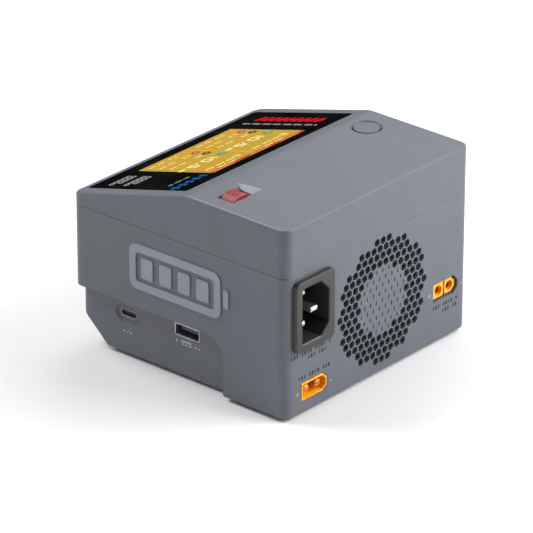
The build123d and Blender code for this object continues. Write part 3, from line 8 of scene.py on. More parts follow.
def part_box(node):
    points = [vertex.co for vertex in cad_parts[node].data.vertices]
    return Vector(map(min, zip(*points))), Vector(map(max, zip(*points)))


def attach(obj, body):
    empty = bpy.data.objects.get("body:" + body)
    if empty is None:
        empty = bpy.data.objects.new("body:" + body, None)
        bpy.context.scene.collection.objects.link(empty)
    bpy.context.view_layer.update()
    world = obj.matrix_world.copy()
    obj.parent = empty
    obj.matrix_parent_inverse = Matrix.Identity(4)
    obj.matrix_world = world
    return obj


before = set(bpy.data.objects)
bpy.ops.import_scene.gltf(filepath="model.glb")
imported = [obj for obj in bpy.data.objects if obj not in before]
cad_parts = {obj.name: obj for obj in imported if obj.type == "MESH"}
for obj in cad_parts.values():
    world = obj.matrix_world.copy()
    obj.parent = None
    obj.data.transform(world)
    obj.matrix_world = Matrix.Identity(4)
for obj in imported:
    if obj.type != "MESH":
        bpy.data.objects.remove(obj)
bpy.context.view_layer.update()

mm = 0.001
X, Y, Z = Vector((1, 0, 0)), Vector((0, 1, 0)), Vector((0, 0, 1))
scene = bpy.context.scene
scene.view_settings.view_transform = "Standard"

# ---------------------------------------------------------------- places taken from the frame
slope_tilt = math.radians(15)
window_thickness = 1.6 * mm
case_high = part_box("lower_case")[1]
window_low, window_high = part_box("display_window")
usb_a_low, usb_a_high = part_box("usb_a_shell")
usb_c_low, usb_c_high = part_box("usb_c_shell")
usb_a_tongue_low, usb_a_tongue_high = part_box("usb_a_tongue")
usb_c_tongue_low, usb_c_tongue_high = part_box("usb_c_tongue")
inlet_low, inlet_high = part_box("mains_inlet")
dc_in_low, dc_in_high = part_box("dc_input_plug")
dc_out_low, dc_out_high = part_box("dc_output_socket")


def face_place(origin, right, up):
    """A matrix from a flat face's own coordinates, in millimetres, to the frame."""
    normal = right.cross(up)
    place = Matrix((right, up, normal)).transposed().to_4x4()
    return Matrix.Translation(origin) @ place @ Matrix.Scale(mm, 4)


def middle(low, high):
    """The middle of a box."""
    return (low + high) / 2


window_drop = Vector((0, math.sin(slope_tilt), -math.cos(slope_tilt))) * window_thickness
window_front_edge = Vector((0, window_low.y, window_low.z - window_drop.z))
window_back_edge = Vector((0, window_high.y - window_drop.y, window_high.z))
slope_up = Vector((0, math.cos(slope_tilt), math.sin(slope_tilt)))
window_place = face_place(middle(window_front_edge, window_back_edge), X, slope_up)
step_x = usb_a_high.x - 0.15 * mm
back_y = case_high.y


def on_step(y, z):
    """A place on the stepped-in side: right is +Y as it is looked at, up is +Z."""
    return face_place(Vector((step_x, y, z)), Y, Z)


def on_back(x, z):
    """A place on the back: right is -X as it is looked at, up is +Z."""
    return face_place(Vector((x, back_y, z)), -X, Z)


# ---------------------------------------------------------------- outlines, in millimetres
def box_outline(x, y, width, height, lean=0.0):
    """A rectangle round a point; lean slides its top edge sideways."""
    w, h = width / 2, height / 2
    return [(x - w - lean, y - h), (x + w - lean, y - h), (x + w + lean, y + h), (x - w + lean, y + h)]


def round_box_outline(x, y, width, height, radius, steps=5):
    """A rectangle with rounded corners."""
    points = []
    for corner in range(4):
        sign_x = (1, -1, -1, 1)[corner]
        sign_y = (1, 1, -1, -1)[corner]
        centre_x = x + sign_x * (width / 2 - radius)
        centre_y = y + sign_y * (height / 2 - radius)
        for step in range(steps + 1):
            angle = math.radians(90) * (corner + step / steps)
            points.append((centre_x + radius * math.cos(angle), centre_y + radius * math.sin(angle)))
    return points


def disc_outline(x, y, radius, steps=24):
    """A circle."""
    turn = math.tau / steps
    return [(x + radius * math.cos(i * turn), y + radius * math.sin(i * turn)) for i in range(steps)]


def turned(outlines):
    """Outlines turned a quarter to the left."""
    return [[(-y, x) for x, y in outline] for outline in outlines]


def moved(outlines, dx, dy):
    """Outlines shifted sideways and up."""
    return [[(x + dx, y + dy) for x, y in outline] for outline in outlines]


# ---------------------------------------------------------------- pieces
def link_mesh(name, mesh_builder, material, body="case"):
    """Turns a bmesh into a piece that rides on a body."""
    mesh = bpy.data.meshes.new(name)
    bmesh.ops.recalc_face_normals(mesh_builder, faces=mesh_builder.faces)
    mesh_builder.to_mesh(mesh)
    mesh_builder.free()
    piece = bpy.data.objects.new(name, mesh)
    scene.collection.objects.link(piece)
    piece.data.materials.append(material)
    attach(piece, body)
    return piece


def plate(name, outlines, place, material, low=-0.01, high=0.03, body="case"):
    """A thin flat piece of one or more outlines lying on a face, from low to high above it."""
    builder = bmesh.new()
    for outline in outlines:
        bottom = [builder.verts.new(place @ Vector((x, y, low))) for x, y in outline]
        top = [builder.verts.new(place @ Vector((x, y, high))) for x, y in outline]
        count = len(outline)
        builder.faces.new(bottom[::-1])
        builder.faces.new(top)
        for i in range(count):
            j = (i + 1) % count
            builder.faces.new((bottom[i], bottom[j], top[j], top[i]))
    return link_mesh(name, builder, material, body)


# ---------------------------------------------------------------- materials
def srgb(red, green, blue):
    """A display colour from 0 to 255 as a linear colour."""
    def linear(value):
        value = value / 255
        return value / 12.92 if value <= 0.04045 else ((value + 0.055) / 1.055) ** 2.4
    return linear(red), linear(green), linear(blue), 1.0


def tinted(colour, factor):
    """A colour made lighter or darker."""
    return tuple(min(channel * factor, 1.0) for channel in colour[:3]) + (1.0,)


class Shader:
    """A material's node tree with its Principled shader and object coordinates."""

    def __init__(self, name):
        self.material = bpy.data.materials.new(name)
        self.material.use_nodes = True
        self.tree = self.material.node_tree
        self.principled = self.tree.nodes["Principled BSDF"]
        self.coordinates = self.add("ShaderNodeTexCoord").outputs["Object"]

    def add(self, kind, **settings):
        node = self.tree.nodes.new(kind)
        for key, value in settings.items():
            setattr(node, key, value)
        return node

    def link(self, source, target):
        self.tree.links.new(source, target)

    def stretched(self, scale):
        """Object coordinates scaled by a vector."""
        mapping = self.add("ShaderNodeMapping")
        mapping.inputs["Scale"].default_value = scale
        self.link(self.coordinates, mapping.inputs["Vector"])
        return mapping.outputs["Vector"]

    def noise(self, size, detail=3.0, stretch=(1, 1, 1)):
        """Soft noise with features of a given size in metres."""
        node = self.add("ShaderNodeTexNoise")
        node.inputs["Scale"].default_value = 1 / size
        node.inputs["Detail"].default_value = detail
        self.link(self.stretched(stretch), node.inputs["Vector"])
        return node.outputs["Fac"]

    def ramp(self, value, stops):
        """A colour ramp; stops are (position, colour)."""
        node = self.add("ShaderNodeValToRGB")
        elements = node.color_ramp.elements
        while len(elements) < len(stops):
            elements.new(0.5)
        for element, (position, colour) in zip(elements, stops):
            element.position = position
            element.color = colour
        self.link(value, node.inputs["Fac"])
        return node.outputs["Color"]

    def spread(self, value, low, high, start=0.3, end=0.7):
        """Maps a value to a range."""
        node = self.add("ShaderNodeMapRange")
        node.inputs["From Min"].default_value = start
        node.inputs["From Max"].default_value = end
        node.inputs["To Min"].default_value = low
        node.inputs["To Max"].default_value = high
        self.link(value, node.inputs["Value"])
        return node.outputs["Result"]

    def mixed(self, factor, first, second):
        """Two colours mixed by a factor; each is a colour or a socket."""
        node = self.add("ShaderNodeMix", data_type="RGBA")
        self.link(factor, node.inputs["Factor"])
        for socket, colour in ((node.inputs[6], first), (node.inputs[7], second)):
            if isinstance(colour, tuple):
                socket.default_value = colour
            else:
                self.link(colour, socket)
        return node.outputs[2]

    def bumped(self, height, distance, strength=1.0, normal=None):
        """A bumped normal, of a given depth in metres."""
        node = self.add("ShaderNodeBump")
        node.inputs["Distance"].default_value = distance
        node.inputs["Strength"].default_value = strength
        self.link(height, node.inputs["Height"])
        if normal is not None:
            self.link(normal, node.inputs["Normal"])
        return node.outputs["Normal"]

    def rounded(self, radius):
        """A normal rounded over sharp edges."""
        node = self.add("ShaderNodeBevel", samples=4)
        node.inputs["Radius"].default_value = radius
        return node.outputs["Normal"]

    def edge_mask(self, rounded_normal):
        """1 at sharp edges, 0 on flats."""
        geometry = self.add("ShaderNodeNewGeometry")
        dot = self.add("ShaderNodeVectorMath", operation="DOT_PRODUCT")
        self.link(geometry.outputs["Normal"], dot.inputs[0])
        self.link(rounded_normal, dot.inputs[1])
        return self.spread(dot.outputs["Value"], 1.0, 0.0, 0.72, 0.99)

    def facing(self, way):
        """1 on faces that point along a direction, 0 elsewhere."""
        geometry = self.add("ShaderNodeNewGeometry")
        dot = self.add("ShaderNodeVectorMath", operation="DOT_PRODUCT")
        dot.inputs[1].default_value = way.normalized()
        self.link(geometry.outputs["Normal"], dot.inputs[0])
        return self.spread(dot.outputs["Value"], 0.0, 1.0, 0.985, 0.995)


def moulded(name, colour, roughness=0.5, grain=0.25 * mm, depth=0.012 * mm, soft_edge=0.25 * mm,
            specular=0.4, wear=1.18, painted_highlight_way=None):
    """Moulded plastic: fine grain, faint tone variation and slightly rubbed, lighter edges.

    Faces that point along the given direction are lightened: a painted highlight on the thumb ramp.
    """
    shader = Shader(name)
    tone = shader.noise(14 * mm, 4.0)
    body = shader.ramp(tone, [(0.3, tinted(colour, 0.96)), (0.7, tinted(colour, 1.04))])
    rounded = shader.rounded(soft_edge)
    edges = shader.edge_mask(rounded)
    body = shader.mixed(edges, body, tinted(colour, wear))
    # painted highlight: faces along the thumb ramp's direction are lightened in colour in place of the
    # light that falls there
    if painted_highlight_way is not None:
        body = shader.mixed(shader.facing(painted_highlight_way), body, tinted(colour, painted_ramp_highlight))
    shader.link(body, shader.principled.inputs["Base Color"])
    fine = shader.noise(grain, 2.0)
    shader.link(shader.spread(fine, roughness - 0.05, roughness + 0.06),
                shader.principled.inputs["Roughness"])
    shader.link(shader.bumped(fine, depth, 1.0, rounded), shader.principled.inputs["Normal"])
    shader.principled.inputs["Specular IOR Level"].default_value = specular
    return shader.material


def glossy(name, colour, roughness=0.2, specular=0.5, soft_edge=0.15 * mm, tone_size=4 * mm, coat=0.0,
           subsurface=0.0):
    """Shiny moulded plastic: flow variation, light scuffs and rounded edges."""
    shader = Shader(name)
    tone = shader.noise(tone_size, 3.0)
    body = shader.ramp(tone, [(0.3, tinted(colour, 0.88)), (0.7, tinted(colour, 1.08))])
    shader.link(body, shader.principled.inputs["Base Color"])
    scuffs = shader.noise(0.9 * mm, 6.0, (1, 0.25, 1))
    shader.link(shader.spread(scuffs, roughness, roughness + 0.12, 0.45, 0.75),
                shader.principled.inputs["Roughness"])
    ripple = shader.noise(1.5 * mm, 2.0)
    shader.link(shader.bumped(ripple, 0.01 * mm, 0.6, shader.rounded(soft_edge)),
                shader.principled.inputs["Normal"])
    shader.principled.inputs["Specular IOR Level"].default_value = specular
    shader.principled.inputs["Coat Weight"].default_value = coat
    if subsurface:
        shader.principled.inputs["Subsurface Weight"].default_value = subsurface
        shader.principled.inputs["Subsurface Radius"].default_value = (0.6, 0.3, 0.2)
        shader.principled.inputs["Subsurface Scale"].default_value = 1 * mm
    return shader.material


def plated(name, colour, roughness=0.22, dull=0.6, soft_edge=0.1 * mm):
    """Plated metal: slight tarnish and fine pitting."""
    shader = Shader(name)
    tarnish = shader.noise(1.6 * mm, 5.0)
    body = shader.ramp(tarnish, [(0.35, tinted(colour, dull)), (0.6, colour)])
    shader.link(body, shader.principled.inputs["Base Color"])
    shader.link(shader.spread(tarnish, roughness + 0.2, roughness), shader.principled.inputs["Roughness"])
    fine = shader.noise(0.12 * mm, 2.0)
    shader.link(shader.bumped(fine, 0.004 * mm, 1.0, shader.rounded(soft_edge)),
                shader.principled.inputs["Normal"])
    shader.principled.inputs["Metallic"].default_value = 1.0
    return shader.material


def brushed(name, colour, roughness=0.3, stretch=(1, 1, 0.05), soft_edge=0.12 * mm):
    """Brushed or extruded metal with lines along one axis."""
    shader = Shader(name)
    lines = shader.noise(0.18 * mm, 3.0, stretch)
    body = shader.ramp(lines, [(0.3, tinted(colour, 0.82)), (0.7, colour)])
    shader.link(body, shader.principled.inputs["Base Color"])
    shader.link(shader.spread(lines, roughness - 0.06, roughness + 0.12),
                shader.principled.inputs["Roughness"])
    shader.link(shader.bumped(lines, 0.01 * mm, 0.8, shader.rounded(soft_edge)),
                shader.principled.inputs["Normal"])
    shader.principled.inputs["Metallic"].default_value = 1.0
    return shader.material


def wound(name, colour, turn, axis="Z"):
    """Windings of enamelled wire, with turns of a given pitch along an axis."""
    shader = Shader(name)
    wave = shader.add("ShaderNodeTexWave", wave_type="BANDS", bands_direction=axis)
    wave.inputs["Scale"].default_value = math.tau / 20 / turn
    wave.inputs["Distortion"].default_value = 0.4
    shader.link(shader.coordinates, wave.inputs["Vector"])
    tone = shader.noise(2 * mm, 3.0)
    body = shader.mixed(tone, tinted(colour, 0.7), colour)
    # painted shade: the crevices between the turns of wire are darkened in colour
    painted_gap_shade = shader.ramp(wave.outputs["Fac"], [(0.0, (0.0, 0.0, 0.0, 1)), (0.35, (1, 1, 1, 1))])
    body = shader.mixed(painted_gap_shade, tinted(colour, 0.15), body)
    shader.link(body, shader.principled.inputs["Base Color"])
    shader.link(shader.spread(tone, 0.2, 0.4), shader.principled.inputs["Roughness"])
    shader.link(shader.bumped(wave.outputs["Fac"], turn / 2, 0.9), shader.principled.inputs["Normal"])
    shader.principled.inputs["Metallic"].default_value = 0.85
    return shader.material


def laminate(name, colour):
    """A circuit board: solder mask over blocks and lines of copper."""
    shader = Shader(name)
    tracks = shader.add("ShaderNodeTexBrick", offset=0.35, squash=0.6)
    tracks.inputs["Scale"].default_value = 260.0
    tracks.inputs["Color1"].default_value = colour
    tracks.inputs["Color2"].default_value = tinted(colour, 0.72)
    tracks.inputs["Mortar"].default_value = tinted(colour, 1.7)
    tracks.inputs["Mortar Size"].default_value = 0.025
    shader.link(shader.coordinates, tracks.inputs["Vector"])
    cells = shader.add("ShaderNodeTexVoronoi", feature="DISTANCE_TO_EDGE")
    cells.inputs["Scale"].default_value = 420.0
    shader.link(shader.coordinates, cells.inputs["Vector"])
    lines = shader.ramp(cells.outputs["Distance"], [(0.03, (1, 1, 1, 1)), (0.06, (0, 0, 0, 1))])
    body = shader.mixed(lines, tracks.outputs["Color"], tinted(colour, 1.9))
    shader.link(body, shader.principled.inputs["Base Color"])
    weave = shader.noise(0.4 * mm, 2.0)
    shader.link(shader.spread(weave, 0.28, 0.42), shader.principled.inputs["Roughness"])
    shader.link(shader.bumped(tracks.outputs["Fac"], 0.03 * mm, 0.5), shader.principled.inputs["Normal"])
    return shader.material


def printed(name, colour, glow=0.0, gloss=0.04):
    """A thin print: slightly uneven ink."""
    shader = Shader(name)
    ink = shader.noise(0.35 * mm, 4.0)
    body = shader.ramp(ink, [(0.3, tinted(colour, 0.86)), (0.7, colour)])
    shader.link(body, shader.principled.inputs["Base Color"])
    shader.link(shader.spread(ink, 0.45, 0.62), shader.principled.inputs["Roughness"])
    shader.link(shader.bumped(ink, 0.004 * mm, 0.5), shader.principled.inputs["Normal"])
    shader.principled.inputs["Specular IOR Level"].default_value = gloss
    if glow:
        shader.link(body, shader.principled.inputs["Emission Color"])
        shader.principled.inputs["Emission Strength"].default_value = glow
    return shader.material


def lit_screen(name, colour, glow):
    """A lit display: a fine pixel grid and a soft backlight."""
    shader = Shader(name)
    pixels = shader.add("ShaderNodeTexBrick", offset=0.0, squash=1.0)
    pixels.inputs["Scale"].default_value = 2600.0
    pixels.inputs["Color1"].default_value = colour
    pixels.inputs["Color2"].default_value = tinted(colour, 0.97)
    pixels.inputs["Mortar"].default_value = tinted(colour, 0.8)
    pixels.inputs["Mortar Size"].default_value = 0.03
    shader.link(shader.coordinates, pixels.inputs["Vector"])
    backlight = shader.noise(18 * mm, 1.0)
    body = shader.mixed(shader.spread(backlight, 0.0, 0.12), pixels.outputs["Color"], tinted(colour, 0.8))
    shader.link(body, shader.principled.inputs["Base Color"])
    shader.link(body, shader.principled.inputs["Emission Color"])
    shader.link(shader.spread(backlight, 0.3, 0.4), shader.principled.inputs["Roughness"])
    shader.principled.inputs["Emission Strength"].default_value = glow
    shader.principled.inputs["Specular IOR Level"].default_value = 0.15
    return shader.material


def black_glass(name):
    """The display's hard-coated window with faint smudges."""
    shader = Shader(name)
    smudges = shader.noise(9 * mm, 5.0, (1, 0.5, 1))
    body = shader.ramp(smudges, [(0.35, (0.0012, 0.0012, 0.0014, 1)), (0.75, (0.0024, 0.0024, 0.0027, 1))])
    shader.link(body, shader.principled.inputs["Base Color"])
    shader.link(shader.spread(smudges, 0.12, 0.24, 0.4, 0.7), shader.principled.inputs["Roughness"])
    ripple = shader.noise(6 * mm, 1.0)
    shader.link(shader.bumped(ripple, 0.003 * mm, 0.4, shader.rounded(0.2 * mm)),
                shader.principled.inputs["Normal"])
    shader.principled.inputs["Specular IOR Level"].default_value = 0.002
    return shader.material


def clear_glass(name, tint):
    """The fuse's glass tube."""
    shader = Shader(name)
    streaks = shader.noise(2 * mm, 3.0, (1, 0.2, 1))
    body = shader.ramp(streaks, [(0.3, tinted(tint, 0.9)), (0.7, tint)])
    shader.link(body, shader.principled.inputs["Base Color"])
    shader.link(shader.spread(streaks, 0.02, 0.1), shader.principled.inputs["Roughness"])
    shader.principled.inputs["Transmission Weight"].default_value = 0.9
    return shader.material


case_grey = srgb(98, 101, 109)
# how much lighter the painted highlight on the thumb ramp is
painted_ramp_highlight = 2.2
case_plastic = moulded("case_plastic_grain", case_grey, roughness=0.46, specular=0.32)
# the top cover's thumb ramp carries a painted highlight
cover_plastic = moulded("cover_plastic_grain", case_grey, roughness=0.46, specular=0.32,
                        painted_highlight_way=Vector((0.371, 0.057, 0.927)))
button_plastic = moulded("button_plastic_grain", srgb(96, 99, 107), roughness=0.44, specular=0.32)
emblem_plastic = moulded("emblem_plastic_satin", srgb(136, 139, 150), roughness=0.42, specular=0.35,
                         wear=1.06)
window_glass = black_glass("display_window_black")
inlet_plastic = moulded("inlet_plastic_dark", srgb(50, 50, 49), roughness=0.4, grain=0.2 * mm,
                        specular=0.45, wear=1.5)
inner_plastic = moulded("inner_plastic_black", srgb(44, 44, 46), roughness=0.5)
tongue_plastic = moulded("usb_tongue_plastic", srgb(74, 74, 78), roughness=0.45)
fan_plastic = moulded("fan_plastic_black", srgb(34, 35, 40), roughness=0.42, wear=1.3)
amber_plastic = glossy("connector_amber_nylon", srgb(255, 172, 28), roughness=0.3, tone_size=3 * mm,
                       subsurface=0.15)
wheel_plastic = glossy("wheel_red_satin", srgb(146, 34, 36), roughness=0.42, tone_size=2.5 * mm)
header_plastic = glossy("header_white_nylon", srgb(226, 221, 206), roughness=0.38, subsurface=0.15)
component_black = moulded("component_epoxy", srgb(28, 28, 30), roughness=0.5, grain=0.15 * mm)
capacitor_sleeve = glossy("capacitor_sleeve_blue", srgb(30, 44, 78), roughness=0.3, coat=0.2)
ferrite = moulded("ferrite_sintered", srgb(62, 62, 66), roughness=0.62, grain=0.3 * mm, depth=0.03 * mm)
rubber = moulded("rubber_black", srgb(36, 36, 36), roughness=0.8, grain=0.4 * mm, depth=0.03 * mm,
                 specular=0.2)
film = glossy("film_insulating", srgb(214, 214, 196), roughness=0.3)
flex = glossy("flex_polyimide", srgb(178, 112, 36), roughness=0.25)
steel = plated("steel_zinc", srgb(196, 198, 204), roughness=0.28)
nickel = plated("nickel_plated", srgb(206, 203, 198), roughness=0.32, dull=0.8)
gold = plated("gold_plated", srgb(255, 182, 88), roughness=0.32, dull=0.85)
bronze = plated("bronze_sintered", srgb(168, 124, 74), roughness=0.4)
spring_steel = brushed("spring_steel_drawn", srgb(190, 192, 198), 0.25, (1, 1, 1))
port_steel = plated("port_steel_shell", srgb(206, 208, 212), roughness=0.36, dull=0.7)
aluminium = brushed("aluminium_extruded", srgb(204, 206, 210), 0.34, (1, 0.05, 1))
copper_fine = wound("copper_motor_winding", srgb(196, 112, 60), 0.35 * mm, "Y")
copper_flat = wound("copper_transformer_winding", srgb(204, 120, 62), 0.6 * mm, "Z")
copper_thick = wound("copper_choke_winding", srgb(204, 116, 58), 0.9 * mm, "X")
board_green = laminate("board_laminate_green", srgb(22, 84, 52))
lcd_back = lit_screen("lcd_panel_glow", srgb(196, 160, 60), 0.1)
fuse_glass = clear_glass("fuse_tube_glass", srgb(226, 236, 236))

node_materials = {
    case_plastic: ["lower_case"],
    cover_plastic: ["top_cover"],
    button_plastic: ["power_button"],
    emblem_plastic: ["side_emblem"],
    window_glass: ["display_window"],
    lcd_back: ["lcd_panel"],
    inlet_plastic: ["mains_inlet"],
    inner_plastic: ["display_frame", "button_guide", "wheel_carrier"],
    tongue_plastic: ["usb_a_tongue"],
    fan_plastic: ["fan_frame", "fan_rotor"],
    amber_plastic: ["dc_input_plug", "dc_output_socket", "channel_1_socket", "channel_2_socket"],
    wheel_plastic: ["scroll_wheel"],
    header_plastic: ["channel_1_balance_header", "channel_2_balance_header"],
    component_black: [
        "push_switches", "wheel_encoder", "usb_c_tongue", "power_transistors",
        "controller_chip", "buzzer", "bridge_rectifier",
    ],
    capacitor_sleeve: ["filter_capacitors", "bulk_capacitors"],
    ferrite: ["output_inductors", "transformer_core", "choke_core"],
    rubber: ["rubber_feet"],
    film: ["insulating_sheet"],
    flex: ["display_ribbon"],
    steel: ["small_screws", "fan_screws", "board_screws", "case_screws", "fan_shaft", "wheel_axle"],
    nickel: ["mains_inlet_blades", "balance_pins"],
    gold: ["dc_input_plug_pins", "socket_contacts", "board_spacers"],
    bronze: ["fan_bearing"],
    spring_steel: ["button_spring"],
    port_steel: ["usb_a_shell", "usb_c_shell"],
    aluminium: ["main_heatsink", "power_heatsink"],
    copper_fine: ["fan_stator"],
    copper_flat: ["transformer_winding"],
    copper_thick: ["choke_windings"],
    board_green: ["display_board", "control_board", "main_board", "power_board"],
    fuse_glass: ["fuse"],
}
for material, names in node_materials.items():
    for name in names:
        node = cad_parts[name]
        if not node.data.materials:
            node.data.materials.append(material)
        for index in range(len(node.data.materials)):
            node.data.materials[index] = material

# ---------------------------------------------------------------- display graphics
screen_x, screen_y = 0.35, 0.5          # middle of the lit area on the window
screen_width, screen_height = 58.5, 43.2
screen_corner = 0.6
strip_height = 2.2                      # the orange strip along the top
channel_left = (-25.2, 4.3)             # middle of each channel's icons
row_heights = (-17.3, -11.4, -5.0, 4.0)
icon_radii = (1.7, 1.9, 2.0, 2.3)
large_figures = (1, 0, None, 5)
small_figures = ((1, 2, None, 0), (0, None, 5), (2, 5))
large_height, small_height, cell_height = 4.9, 1.9, 3.2
figure_inset, print_inset = 3.2, 13.0   # from an icon's middle to a row's figures and its fine print
print_pitch = 1.25
red_x, fine_x = -43.2, -36.4            # the two rows on the left border
block_pitch = 4.2                       # of the red and of the blue blocks
blue_left, blue_y = 33.0, 19.6
battery_left, battery_pitch = 37.4, 2.6
battery_size, battery_stroke = 1.7, 0.35
layer = 0.02                            # each printed layer's step above the one under it

print_grey = printed("print_pale_grey", srgb(168, 168, 166))
print_red = printed("print_red", srgb(196, 0, 6))
print_blue = printed("print_blue", srgb(2, 78, 140))
print_faint = printed("print_light_grey", srgb(196, 198, 204))
print_dark = printed("print_dark_grey", srgb(58, 60, 66))
print_soft = printed("print_soft_grey", srgb(158, 160, 168))
screen_yellow = lit_screen("screen_yellow", srgb(172, 136, 26), 0.18)
screen_strip = printed("screen_orange_strip", srgb(160, 52, 24), 0.2)
screen_salmon = printed("screen_salmon_glow", srgb(196, 112, 86), 0.3)
screen_line = printed("screen_divider", srgb(204, 172, 84), 0.2)
screen_pale = printed("screen_pale_figures", srgb(232, 222, 160), 0.38)
screen_soft = printed("screen_soft_figures", srgb(222, 204, 134), 0.3)
icon_colours = (
    printed("icon_orange", srgb(206, 112, 44), 0.2),
    printed("icon_magenta", srgb(150, 30, 96), 0.2),
    printed("icon_dark", srgb(44, 12, 24), 0.05),
    printed("icon_teal", srgb(44, 128, 108), 0.2),
)

digit_segments = {
    0: "abcdef", 1: "bc", 2: "abged", 3: "abgcd", 4: "fgbc",
    5: "afgcd", 6: "afgedc", 7: "abc", 8: "abcdefg", 9: "abcdfg",
}


def digit_outlines(digit, x, y, height):
    """A seven-segment figure with its lower left corner at a point."""
    width, stroke = height * 0.84, height * 0.13
    half = height / 2
    places = {
        "a": (width / 2, height - stroke / 2, width, stroke),
        "g": (width / 2, half, width, stroke),
        "d": (width / 2, stroke / 2, width, stroke),
        "f": (stroke / 2, half * 1.5, stroke, half),
        "b": (width - stroke / 2, half * 1.5, stroke, half),
        "e": (stroke / 2, half / 2, stroke, half),
        "c": (width - stroke / 2, half / 2, stroke, half),
    }
    return [
        box_outline(x + px, y + py, w, h)
        for name, (px, py, w, h) in places.items() if name in digit_segments[digit]
    ]


def number_outlines(digits, x, y, height):
    """Figures in a row; None in the row is a dot."""
    outlines = []
    for digit in digits:
        if digit is None:
            outlines.append(box_outline(x + height * 0.1, y + height * 0.1, height * 0.2, height * 0.2))
            x += height * 0.5
        else:
            outlines += digit_outlines(digit, x, y, height)
            x += height * 1.2
    return outlines


def text_row(x, y, count, height, pitch):
    """A row of plain bars of changing height and width that stands in for a line of small print."""
    outlines = []
    for i in range(count):
        if i % 5 == 4:
            continue
        tall = height if i % 3 else height * 0.7
        outlines.append(box_outline(x + i * pitch, y, pitch * (0.62 if i % 2 else 0.42), tall))
    return outlines


def screen_figures():
    """The pale figures of both channels: one large value and rows of smaller ones."""
    large, small = [], []
    value_row = row_heights[3]
    for left in channel_left:
        large += number_outlines(large_figures, left + figure_inset / 2, value_row - 2.4, large_height)
        large += text_row(left + 22.0, value_row - 1.2, 3, 2.0, 1.5)
        small += number_outlines((6,), left + 1.0, value_row + 9.2, cell_height)
        for row, figures in zip(row_heights, small_figures):
            small += number_outlines(figures, left + figure_inset, row - 0.9, small_height)
            small += text_row(left + print_inset, row, 8, 1.5, print_pitch)
        small += text_row(left + 5.0, value_row + 11.2, 15, 1.5, 1.3)
        small += text_row(left + 8.0, value_row + 15.0, 9, 1.2, 1.3)
    return large, small


def lit_area():
    """The yellow area with its orange strip and its dividing lines."""
    lit = round_box_outline(screen_x, screen_y, screen_width, screen_height, screen_corner)
    plate("screen_lit_area", [lit], window_place, screen_yellow, high=layer)
    strip_y = screen_y + screen_height / 2 - 1.2
    strip = box_outline(screen_x, strip_y, screen_width - screen_corner, strip_height)
    plate("screen_top_strip", [strip], window_place, screen_strip, layer / 2, 2 * layer)
    glow = [box_outline(x, strip_y + 0.4, 13.0, 1.0) for x in (-20.0, -1.0, 21.6)]
    plate("screen_strip_glow", glow, window_place, screen_salmon, layer, 3 * layer)
    lines = [box_outline(screen_x + 0.6, screen_y - 1.4, 0.35, screen_height - 4)]
    for left in channel_left:
        for height in row_heights[:3]:
            lines.append(box_outline(left + 12.0, height + 2.9, 25.0, 0.18))
    plate("screen_row_lines", lines, window_place, screen_line, layer / 2, 2 * layer)


def figures_and_icons():
    """The figures and the round icons of both channels."""
    large, small = screen_figures()
    plate("screen_large_figures", large, window_place, screen_pale, layer / 2, 2 * layer)
    plate("screen_small_figures", small, window_place, screen_soft, layer, 3 * layer)
    for colour, height, radius in zip(icon_colours, row_heights, icon_radii):
        discs = [disc_outline(left, height, radius) for left in channel_left]
        plate(colour.name + "_discs", discs, window_place, colour, layer / 2, 2 * layer)
    signs = []
    for left in channel_left:
        for height, radius in zip(row_heights, icon_radii):
            signs.append(box_outline(left - 0.25 * radius, height, 0.2 * radius, 0.9 * radius))
            signs.append(box_outline(left + 0.25 * radius, height, 0.2 * radius, 0.5 * radius))
    plate("icon_signs", signs, window_place, screen_line, layer, 3 * layer)


def left_border():
    """A red row of slanted blocks beside a fine pale row."""
    blocks = []
    for i in range(9):
        blocks.append(box_outline(-16.0 + i * block_pitch, 0, 2.2, 5.6, lean=1.0))
        blocks.append(box_outline(-14.0 + i * block_pitch, -0.6, 0.9, 2.6, lean=0.5))
    plate("border_red_bars", moved(turned(blocks), red_x, 0), window_place, print_red)
    fine = text_row(-20.6, 0, 36, 1.7, 1.2)
    plate("border_fine_print", moved(turned(fine), fine_x, 0), window_place, print_grey)


def battery_sign(x, y):
    """A small outlined battery with its terminal on the right."""
    half = battery_size / 2
    return [
        box_outline(x, y - half, 2.0, battery_stroke),
        box_outline(x, y + half, 2.0, battery_stroke),
        box_outline(x - 0.8, y, battery_stroke, 1.4),
        box_outline(x + 0.8, y, battery_stroke, 1.4),
        box_outline(x + 1.1, y, 0.25, 0.7),
    ]


def right_border():
    """Two groups of small battery signs, a blue row of blocks and a fine row."""
    signs = []
    for group_y in (-17.8, -9.2):
        for line, length in ((group_y - 1.5, 5), (group_y + 1.5, 4)):
            for i in range(length):
                signs += battery_sign(battery_left + i * battery_pitch, line)
    plate("border_white_pictograms", signs, window_place, print_grey)
    blocks = []
    for i in range(5):
        blocks.append(box_outline(blue_left + i * block_pitch, blue_y, 1.8, 4.2))
        blocks.append(box_outline(blue_left + 2.1 + i * block_pitch, blue_y, 1.2, 1.6))
    plate("border_blue_bars", blocks, window_place, print_blue)
    fine = text_row(35.6, 13.7, 13, 1.1, 1.0)
    plate("border_short_print", fine, window_place, print_grey)


lit_area()
figures_and_icons()
left_border()
right_border()


# ---------------------------------------------------------------- prints beside the ports
dot_radius = 0.4
row_drop = 2.6              # from one row of small print to the next, and from a port to its print
sign_reach = 2.6            # from a connector's end to its plus or minus sign
sign_stroke = 0.5
bar_pitch = 1.7


def bar_row(x, y, count):
    """A row of small plain blocks, in groups, that stands in for small print."""
    outlines = []
    for i in range(count):
        if i % 5 == 3:
            continue
        bar_x = x + (i - (count - 1) / 2) * bar_pitch
        width = 1.0 if i % 2 else 0.7
        height = 1.7 if i % 3 else 1.3
        outlines.append(box_outline(bar_x, y, width, height))
    return outlines


